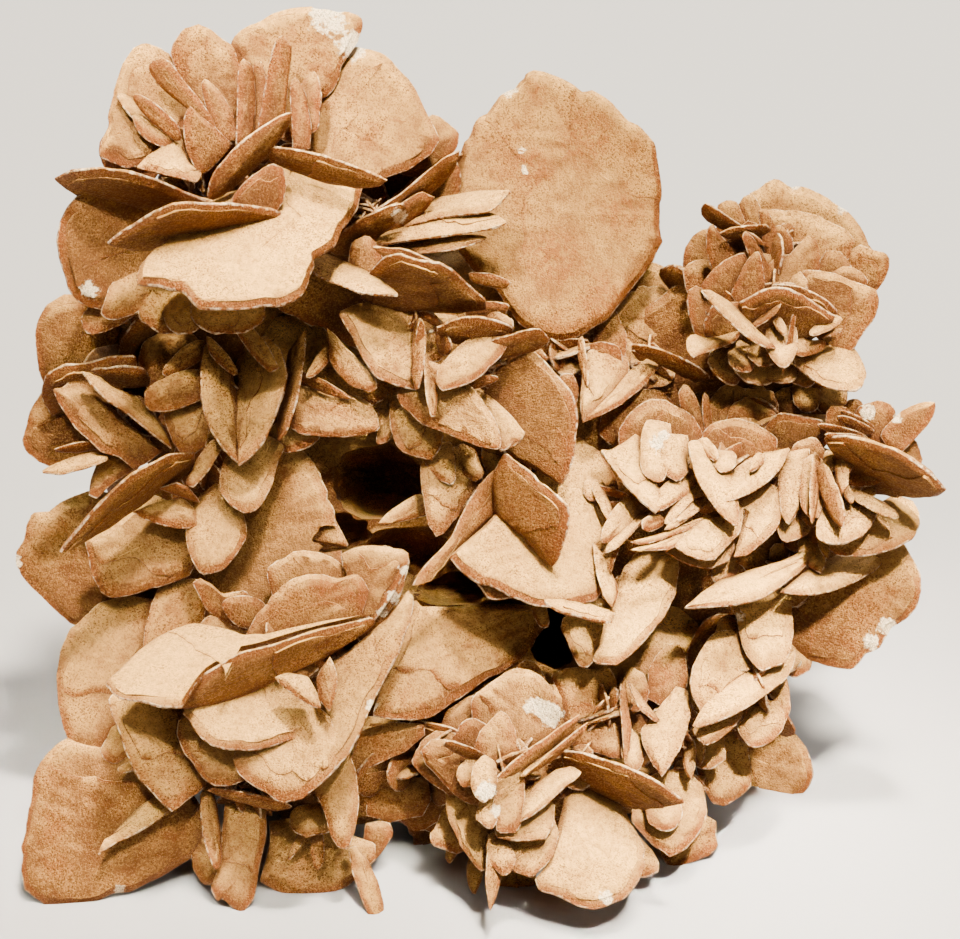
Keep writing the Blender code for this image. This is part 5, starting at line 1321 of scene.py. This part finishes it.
def heart_crystals(number, u, v, w, radius):
    """Short crystals that cross one another in the heart of a rosette."""
    chance = random.Random(300 + number)
    heart = SHOW_SIDE @ Vector((u, v, w))
    made = []
    for i in range(HEART_CRYSTALS):
        opening = math.radians(chance.uniform(15.0, 85.0))
        spin = GOLDEN * i + number
        spoke = U_AXIS * math.cos(spin) + V_AXIS * math.sin(spin)
        aim = W_AXIS * math.cos(opening) + spoke * math.sin(opening)
        length = radius * chance.uniform(1.1, 1.45)
        width = radius * chance.uniform(0.7, 1.2)
        root = heart - aim * 0.5 * length
        own = 5000 + 20 * number + i
        row = (root, root + aim * length, width, chance.uniform(-90.0, 90.0), ROUND)
        crystal = Crystal(row, W_AXIS, own, **HEART_DETAIL)
        # painted shade: heart crystals take only the lower tones, as they lie deep between the rosettes
        tone = 0.4 * random.Random(own).random()
        made.append(new_crystal(f"heart_{number}_{i}", lens_body(crystal), tone))
    return made


def tie_crystals():
    """The inner crystals that tie the outer rosettes to the mass."""
    made = []
    for number, (ru, rv, rw, tu, tv, tw, width, roll) in enumerate(TIES):
        row = (SHOW_SIDE @ Vector((ru, rv, rw)), SHOW_SIDE @ Vector((tu, tv, tw)), width, roll, DISC)
        crystal = Crystal(row, W_AXIS, 7000 + number, **TIE_DETAIL)
        made.append(new_crystal(f"tie_{number}", lens_body(crystal), TIE_SHADE_TONE))
    return made


def foot_crystals():
    """The broad crystals that the stone stands on."""
    made = []
    for number, (rx, ry, rz, tx, ty, tz, width, roll) in enumerate(FEET):
        root, tip = Vector((rx, ry, rz)), Vector((tx, ty, tz))
        outward = Vector((0.0, math.copysign(1.0, ty), 0.0))
        made += crystal_with_layers(f"foot_{number}", (root, tip, width, roll, DISC), outward,
                                    8000 + number, FOOT_TONE, **FOOT_DETAIL)
    return made


print("each heart has", HEART_CRYSTALS, "crystals")

# %% Inner mass and hollows
MASS_SHADE_TONE = -1.2                  # painted shade, darker than any crystal because it lies deep in the stone
MASS_FAR_IN = 12.0                # the mass has no rim, so all of it counts as 12 mm from one


def rough_mass(name, u, v, w, reach, seed):
    """A lumpy, sandy mass that the crystals have grown out of."""
    ball = bmesh.new()
    bmesh.ops.create_icosphere(ball, subdivisions=4, radius=1.0)
    chance = random.Random(seed)
    way = np.array([vert.co for vert in ball.verts])
    swollen = 0.90 + 0.05 * swell(chance, 5.0 * way[:, 0], 5.0 * way[:, 1], 3.0)
    swollen = swollen + 0.04 * swell(chance, 9.0 * way[:, 1], 9.0 * way[:, 2], 3.0)
    spots = np.array((u, v, w)) + way * np.array(reach) * swollen[:, None]
    turned = spots @ np.array(SHOW_SIDE).T
    faces = [[vert.index for vert in face.verts] for face in ball.faces]
    ball.free()
    far_in = np.full(len(turned), MASS_FAR_IN)
    flat = np.stack((spots[:, 0], spots[:, 1], np.full(len(turned), 50.0)), axis=1)
    return new_crystal(name, (turned, faces, far_in, flat), MASS_SHADE_TONE)


print("the mass counts as", MASS_FAR_IN, "mm from a rim")

# %% [markdown]
# ## Growing the crystals together
# Crystals that cross are one stone, so each group is joined by a Boolean union into a closed skin with
# nothing left inside.  The Manifold solver does this in a moment for closed meshes.  The stone is kept as
# a few large pieces that reach into one another, because one piece would be too heavy to handle.

# %% Join a group into one piece
SHARP_FROM = math.radians(42.0)   # edges that turn more than this stay crisp


def gathered(name, objects):
    """A collection of objects, for a modifier to read."""
    collection = bpy.data.collections.new(name)
    for item in objects:
        collection.objects.link(item)
    return collection


def boolean(target, name, operation, cutters):
    """A Boolean modifier that joins or cuts with one object or with a collection."""
    step = target.modifiers.new(name, "BOOLEAN")
    step.operation = operation
    step.solver = "MANIFOLD"
    if isinstance(cutters, bpy.types.Collection):
        step.operand_type = "COLLECTION"
        step.collection = cutters
    else:
        step.object = cutters


def grown_together(name, parts, hollows=()):
    """Crystals joined into one closed piece, less the hollows and what lies under the floor."""
    first = parts[0]
    others = gathered(name, parts[1:])
    removed = gathered(name + "_hollows", hollows)
    boolean(first, "grown", "UNION", others)
    if hollows:
        boolean(first, "hollows", "DIFFERENCE", removed)
    if min(corner[2] for part in parts for corner in part.bound_box) < 0.0:
        boolean(first, "worn_flat", "DIFFERENCE", under_floor)
    depsgraph = bpy.context.evaluated_depsgraph_get()
    mesh = bpy.data.meshes.new_from_object(first.evaluated_get(depsgraph))
    for part in parts + list(hollows):
        spare = part.data
        bpy.data.objects.remove(part)
        bpy.data.meshes.remove(spare)
    bpy.data.collections.remove(others)
    bpy.data.collections.remove(removed)
    mesh.name = name
    mesh.materials.clear()
    mesh.polygons.foreach_set("use_smooth", np.ones(len(mesh.polygons), dtype=bool))
    mesh.set_sharp_from_angle(angle=SHARP_FROM)
    piece = bpy.data.objects.new(name, mesh)
    bpy.context.scene.collection.objects.link(piece)
    mesh.calc_loop_triangles()
    print(name, "has", len(mesh.loop_triangles), "triangles from", len(parts), "crystals")
    return piece


def floor_cutter():
    """A box that fills the space under the floor."""
    mesh = bpy.data.meshes.new("under_floor")
    box = bmesh.new()
    bmesh.ops.create_cube(box, size=2.0)
    bmesh.ops.translate(box, verts=box.verts, vec=(0.0, 0.0, -1.0))
    box.to_mesh(mesh)
    box.free()
    cutter = bpy.data.objects.new("under_floor", mesh)
    bpy.context.scene.collection.objects.link(cutter)
    return cutter


under_floor = floor_cutter()
print("edges stay crisp from", round(math.degrees(SHARP_FROM)), "degrees")

# %% Pieces of the show side
GROUPS = {
    "upper_left_rosette": (CROWN_LEFT, 1), "left_rosettes": (LEFT_SIDE + MIDDLE_LEFT, 2),
    "lower_left_rosettes": (LOWER_LEFT + FOOT_LEFT, 3), "middle_rosettes": (CENTRE_LEFT + CENTRE, 4),
    "broad_disc": (BIG_DISC, 5), "right_crown": (RIGHT_CROWN + BEHIND_RIGHT, 6),
    "right_rosettes": (RIGHT_MIDDLE, 7), "right_tip": (RIGHT_TIP + RIGHT_SKIRT, 8),
    "lower_right_rosettes": (LOWER_RIGHT, 9),
}
stone_pieces = []
for group_name, (group_rows, group_seed) in GROUPS.items():
    crystals = show_side_crystals(group_name, group_rows, group_seed)
    stone_pieces.append(grown_together(group_name, crystals))

# %% Piece of the hearts and the inner mass
inner = [rough_mass(f"mass_{i}", *row[:3], row[3:], SEED + i) for i, row in enumerate(TRUNKS)]
for i, row in enumerate(HEARTS):
    inner += heart_crystals(i, *row)
inner += tie_crystals()
hollows = [rough_mass(f"hollow_{i}", *row[:3], row[3:], SEED + 50 + i) for i, row in enumerate(HOLLOWS)]
stone_pieces.append(grown_together("hearts", inner, hollows))

# %% Pieces of the back and the base
HIDDEN_GROUPS = {
    "back_upper": (0, 6), "back_middle": (6, 11), "back_lower": (11, 16), "back_cover": (16, 26),
    "base_cover": (26, 32),
}
all_rosettes = FAR_ROSETTES + COVER_ROSETTES
for group_name, (first_rosette, end_rosette) in HIDDEN_GROUPS.items():
    hidden = []
    for i in range(first_rosette, end_rosette):
        hidden += far_rosette(i, *all_rosettes[i])
    if group_name == "back_lower":
        hidden += foot_crystals()
    stone_pieces.append(grown_together(group_name, hidden))
under_floor_mesh = under_floor.data
bpy.data.objects.remove(under_floor)
bpy.data.meshes.remove(under_floor_mesh)
all_triangles = sum(len(piece.data.loop_triangles) for piece in stone_pieces)
print(len(stone_pieces), "pieces,", all_triangles, "triangles in all")

# %% [markdown]
# ## Shader maths in plain expressions
# A node tree is easier to read as sums than as boxes and lines.  This small class wraps the output of a
# node, so that an expression such as `1 - mask * 0.5` adds the Math nodes that work it out.

# %% Numbers that flow through a shader
class Flow:
    """An output of a node, with maths on it."""

    def __init__(self, tree, socket):
        self.tree = tree
        self.socket = socket

    def maths(self, operation, *values, clamp=False):
        """A Math node on these values."""
        node = self.tree.nodes.new("ShaderNodeMath")
        node.operation = operation
        node.use_clamp = clamp
        for slot, value in zip(node.inputs, values):
            if isinstance(value, Flow):
                self.tree.links.new(value.socket, slot)
            else:
                slot.default_value = value
        return Flow(self.tree, node.outputs[0])

    def __add__(self, other):
        return self.maths("ADD", self, other)

    def __sub__(self, other):
        return self.maths("SUBTRACT", self, other)

    def __rsub__(self, other):
        return self.maths("SUBTRACT", other, self)

    def __mul__(self, other):
        return self.maths("MULTIPLY", self, other)

    __radd__ = __add__
    __rmul__ = __mul__

    def held(self):
        """The same number, kept between 0 and 1."""
        return self.maths("ADD", self, 0.0, clamp=True)

    def over(self, low, high):
        """0 below low, 1 above high, and an even slope between them."""
        return ((self - low) * (1.0 / (high - low))).held()


class Finish:
    """A material and the one method that adds its nodes."""

    def __init__(self, name):
        self.material = bpy.data.materials.new(name)
        self.material.use_nodes = True
        self.tree = self.material.node_tree
        self.surface = self.tree.nodes["Principled BSDF"]

    def node(self, kind, settings, sockets, out=0):
        """A node of any type: its settings first, then the values or links of its sockets."""
        node = self.tree.nodes.new(kind)
        for name, value in settings.items():
            if name == "stops":
                ramp = node.color_ramp.elements
                while len(ramp) < len(value):
                    ramp.new(0.5)
                for element, (place, color) in zip(ramp, value):
                    element.position = place
                    element.color = color
            else:
                setattr(node, name, value)
        for name, value in sockets.items():
            if isinstance(value, Flow):
                self.tree.links.new(value.socket, node.inputs[name])
            else:
                node.inputs[name].default_value = value
        return Flow(self.tree, node.outputs[out])

    def noise(self, place, size_mm, detail, rough):
        """Cloudy noise with spots about size_mm across, mostly 0.3 to 0.7."""
        sockets = {"Vector": place, "Scale": 1.0 / size_mm, "Detail": detail, "Roughness": rough}
        return self.node("ShaderNodeTexNoise", {"noise_dimensions": "3D"}, sockets)

    def blend(self, share, first, second):
        """A colour between two colours."""
        return self.node("ShaderNodeMix", {"data_type": "RGBA"}, {0: share, 6: first, 7: second}, out=2)

    def feed(self, **sockets):
        """Set or link sockets of the surface shader, with _ for a space in a name."""
        for name, value in sockets.items():
            slot = self.surface.inputs[name.replace("_", " ")]
            if isinstance(value, Flow):
                self.tree.links.new(value.socket, slot)
            else:
                slot.default_value = value


print("shader maths ready")

# %% [markdown]
# ## Sandy gypsum
# The stone is mostly sand held by gypsum, so its base is a grainy tan.  Over it lie pale dust on whatever
# faces up, which is partly a painted highlight, amber along the bevels where the gypsum is clearer, white
# bruises where the rim has broken, pale rims that are partly worn and partly a painted highlight, faint
# growth lines along each crystal, painted shade in brown on faces that look down, and painted shade in the
# hollows between crystals: amber where the hollows begin and brown where they are deep.  The sand itself
# is a Voronoi pattern: each cell is one grain with its own lightness.

# %% Coordinates and notes for the finish
def tint(red, green, blue):
    """A colour given as it looks on a screen, turned into the linear values that a shader wants."""
    return tuple(((c / 255.0 + 0.055) / 1.055) ** 2.4 for c in (red, green, blue)) + (1.0,)


def note_of(label):
    """A note that the crystals carry, as a number."""
    return sandy.node("ShaderNodeAttribute", {"attribute_name": label}, {}, out=2)


HOLLOW_SHADE_REACH = 0.026              # how far the painted shade in the hollows looks for a neighbour, in metres
ALONG_GROWTH = (0.12, 1.0, 1.0)   # growth lines are stretched along the crystal

sandy = Finish("sandy_gypsum")
place_m = sandy.node("ShaderNodeTexCoord", {}, {}, out=3)
place_mm = sandy.node("ShaderNodeVectorMath", {"operation": "SCALE"}, {0: place_m, "Scale": 1000.0})
rim_mm, tone, bruised, stained = note_of("rim_mm"), note_of("tone"), note_of("bruised"), note_of("stained")
flat_mm = sandy.node("ShaderNodeAttribute", {"attribute_name": "flat_mm"}, {}, out=1)
growth_mm = sandy.node("ShaderNodeVectorMath", {"operation": "MULTIPLY"}, {0: flat_mm, 1: ALONG_GROWTH})
normal = sandy.node("ShaderNodeNewGeometry", {}, {}, out=1)
upward = sandy.node("ShaderNodeSeparateXYZ", {}, {0: normal}, out=2)
# painted shade: how closed in each point is, for darkening the hollows between crystals
openness = sandy.node("ShaderNodeAmbientOcclusion", {"samples": 1}, {"Distance": HOLLOW_SHADE_REACH}, out=1)
hollow_shade = 1.0 - openness
print("notes read by the finish: rim_mm, tone, bruised, stained, flat_mm")

# %% Noise at the sizes seen on the stone
BROAD_MM = 34.0
GRAIN_MM = 0.62

broad = sandy.noise(place_mm, BROAD_MM, 1.0, 0.55)
patches = sandy.noise(place_mm, 11.0, 3.0, 0.62)
mottle = sandy.noise(place_mm, 2.8, 1.0, 0.6)
growth = sandy.noise(growth_mm, 1.6, 1.0, 0.6)
cell_sockets = {"Vector": place_mm, "Scale": 1.0 / GRAIN_MM}
grain_cell = sandy.node("ShaderNodeTexVoronoi", {"feature": "F1"}, cell_sockets, out=1)
grain = sandy.node("ShaderNodeSeparateColor", {}, {0: grain_cell}, out=0)
grain_round = Flow(sandy.tree, grain_cell.socket.node.outputs[0])
print("noise from patches of", BROAD_MM, "mm down to grains of", GRAIN_MM, "mm")

# %% Colour of the sandy gypsum
TAN = tint(118, 76, 32)
DEEP_TAN = tint(90, 51, 18)
PALE_TAN = tint(142, 98, 44)
CREAM = tint(250, 192, 104)
AMBER = tint(122, 60, 16)
PALE_GRAIN = tint(172, 126, 64)
SHADE_BROWN = tint(66, 35, 14)
WHITE = tint(250, 226, 184)
DARK_GRAIN = tint(60, 32, 12)

sandy_share = (broad * 1.3 + patches * 1.2).over(1.12, 1.42)
# the tone note darkens the body: at random on the outer crystals, and as painted shade on the inner mass,
# ties and hearts
body = sandy.blend((patches * 1.8 - 0.42 + (tone - 0.5) * 0.5).held(), DEEP_TAN, TAN)
body = sandy.blend(sandy_share * 0.75, body, PALE_TAN)
body = sandy.blend(growth.over(0.48, 0.70) * 0.22, body, PALE_TAN)
# cream on faces that look up: partly dust and partly a painted highlight where the lamp above falls
dust_and_highlight = (upward.over(0.50, 0.92) * (patches * 1.2 + mottle * 0.8 - 0.08)).held()
body = sandy.blend(dust_and_highlight * 0.85, body, CREAM)
bevel_share = 1.0 - rim_mm.over(0.8, 5.5)
amber_bevel = bevel_share * (patches * 2.0 - 0.20) * (1.15 - dust_and_highlight)
amber_share = (amber_bevel + stained * mottle.over(0.3, 0.6) * 0.8).held()
body = sandy.blend(amber_share * 0.80, body, AMBER)
stain_share = (broad * 1.1 - patches * 0.5 + 0.22).over(0.55, 0.72) * (1.0 - dust_and_highlight)
body = sandy.blend(stain_share * 0.45, body, AMBER)
# painted shade: faces that look down are darkened towards brown
under = (0.0 - upward).over(-0.1, 0.7)
body = sandy.blend(under * 0.40, body, SHADE_BROWN)
# pale thin line along the rims: partly wear and partly a painted highlight on the edges
rim_wear_and_highlight = (1.0 - rim_mm.over(0.10, 0.6)) * (mottle * 3.0 + patches * 2.0 - 2.25).held()
crust = bruised * 1.5 + mottle * 1.6 + patches * 1.6 + grain * 0.3
chalk = crust.over(2.55, 2.85) * bruised.over(0.05, 0.4)
body = sandy.blend((rim_wear_and_highlight * 0.75 + chalk * 0.92).held(), body, WHITE)
grain_share = sandy_share * 0.5 + 0.5
body = sandy.blend(grain.over(0.56, 0.95) * grain_share * 0.75, body, DARK_GRAIN)
body = sandy.blend((1.0 - grain.over(0.05, 0.36)) * grain_share * 0.60, body, PALE_GRAIN)
# painted shade in the hollows between crystals: amber where they begin and brown where they are deep
body = sandy.blend(hollow_shade.over(0.15, 0.60) * 0.45, body, AMBER)
body = sandy.blend(hollow_shade.over(0.40, 0.92) * 0.90, body, SHADE_BROWN)
# in this print the cream dust is partly a painted highlight, and the stained hollows are painted shade
print("tan, cream dust, amber bevels, pale worn rims, stained hollows and grains")

# %% Roughness and relief
roughness = 0.66 + (grain - 0.5) * 0.2 + sandy_share * 0.14 - amber_share * 0.20
relief = (1.0 - grain_round) * 0.50 + mottle * 0.8 + patches * 1.5 + growth * 0.5
bumps = sandy.node("ShaderNodeBump", {}, {"Height": relief, "Strength": 1.0, "Distance": 0.001})
sandy.feed(Base_Color=body, Roughness=roughness, Normal=bumps, Metallic=0.0, Specular_IOR_Level=0.12)
for piece in stone_pieces:
    piece.data.materials.append(sandy.material)
print("the finish has", len(sandy.tree.nodes), "nodes")

# %% [markdown]
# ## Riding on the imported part
# Every piece follows the stone's one body, stands for its one node and takes its one finish slot.

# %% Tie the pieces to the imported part
for piece in stone_pieces:
    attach(piece, "root")
    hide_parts("sand_rose")
size_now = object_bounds()
print("the finished stone fills", size_now)

# %% [markdown]
# ## Floor, light and camera
# The stone stands on a plain pale floor.  One small lamp high above it is far enough away to give crisp
# shadows between the crystals, a weak one in front fills them, and one behind lights the back.  Three
# narrow pools of light brighten the right side, the crown and the foot, and the surround is faint.  The
# camera is a long lens three metres away that looks down the slope of the show side.

# %% Floor
HALF_FLOOR = 8.0
PALE_GREY = (0.44, 0.43, 0.42, 1.0)

corners = [(x * HALF_FLOOR, y * HALF_FLOOR, 0.0) for x, y in ((-1, -1), (1, -1), (1, 1), (-1, 1))]
floor_mesh = bpy.data.meshes.new("studio_floor")
floor_mesh.from_pydata(corners, [], [(0, 1, 2, 3)])
floor = bpy.data.objects.new("studio_floor", floor_mesh)
bpy.context.scene.collection.objects.link(floor)
pale = Finish("studio_floor")
pale.feed(Base_Color=PALE_GREY, Roughness=0.9)
floor_mesh.materials.append(pale.material)
print("the floor is", 2 * HALF_FLOOR, "m wide")

# %% Light
MIDDLE_OF_STONE = (0.0, 0.0, 0.19)
WIDE = 180.0
WARM = (1.0, 0.92, 0.78)
# Each lamp: name, where it hangs, what it is aimed at, size in metres, watts, spread in degrees, colour
LAMPS = [
    ("key", (0.42, -0.60, 4.20), MIDDLE_OF_STONE, 0.45, 780.0, WIDE, (1.0, 0.91, 0.76)),
    ("front", (1.0, -1.7, 1.1), MIDDLE_OF_STONE, 0.6, 8.0, WIDE, (1.0, 0.91, 0.78)),
    ("pool", (0.50, -0.95, 1.75), (0.14, -0.07, 0.09), 0.20, 2.2, 15.0, WARM),
    ("crown_pool", (-0.50, -1.00, 2.20), (-0.10, 0.066, 0.31), 0.20, 0.75, 8.0, WARM),
    ("foot_pool", (-0.30, -1.20, 1.60), (-0.19, -0.06, 0.03), 0.20, 0.36, 8.0, WARM),
    ("back", (0.3, 1.6, 1.3), MIDDLE_OF_STONE, 1.0, 34.0, WIDE, (1.0, 0.95, 0.88)),
]
SURROUND = {"Color": (0.80, 0.79, 0.78, 1.0), "Strength": 0.05}

for name, spot, aim, size, watts, spread, warmth in LAMPS:
    lamp = bpy.data.lights.new(name, "AREA")
    lamp.shape = "DISK"
    lamp.size = size
    lamp.energy = watts
    lamp.spread = math.radians(spread)
    lamp.color = warmth
    holder = bpy.data.objects.new(name, lamp)
    holder.location = spot
    holder.rotation_euler = (Vector(aim) - Vector(spot)).to_track_quat("-Z", "Y").to_euler()
    bpy.context.scene.collection.objects.link(holder)

world = bpy.data.worlds.new("surround")
world.use_nodes = True
for socket, value in SURROUND.items():
    world.node_tree.nodes["Background"].inputs[socket].default_value = value
bpy.context.scene.world = world
print(len(LAMPS), "lamps hung")

# %% Camera
SENSOR = 36.0                     # mm
SEEN_WIDTH = 480.0                # mm of the show side that the view takes in, at the drawn edges' plane

lens = bpy.data.cameras.new("long_lens")
lens.sensor_width = SENSOR
lens.lens = SENSOR * (EYE.z - DRAWN_LEVEL) / SEEN_WIDTH
lens.clip_end = 50.0
camera = bpy.data.objects.new("camera", lens)
camera.location = (SHOW_SIDE @ EYE - ORIGIN) * MM
camera.rotation_euler = (math.pi / 2 - SLOPE, 0.0, 0.0)
bpy.context.scene.collection.objects.link(camera)
bpy.context.scene.camera = camera
print("the camera stands", round(camera.location.length, 2), "m away")
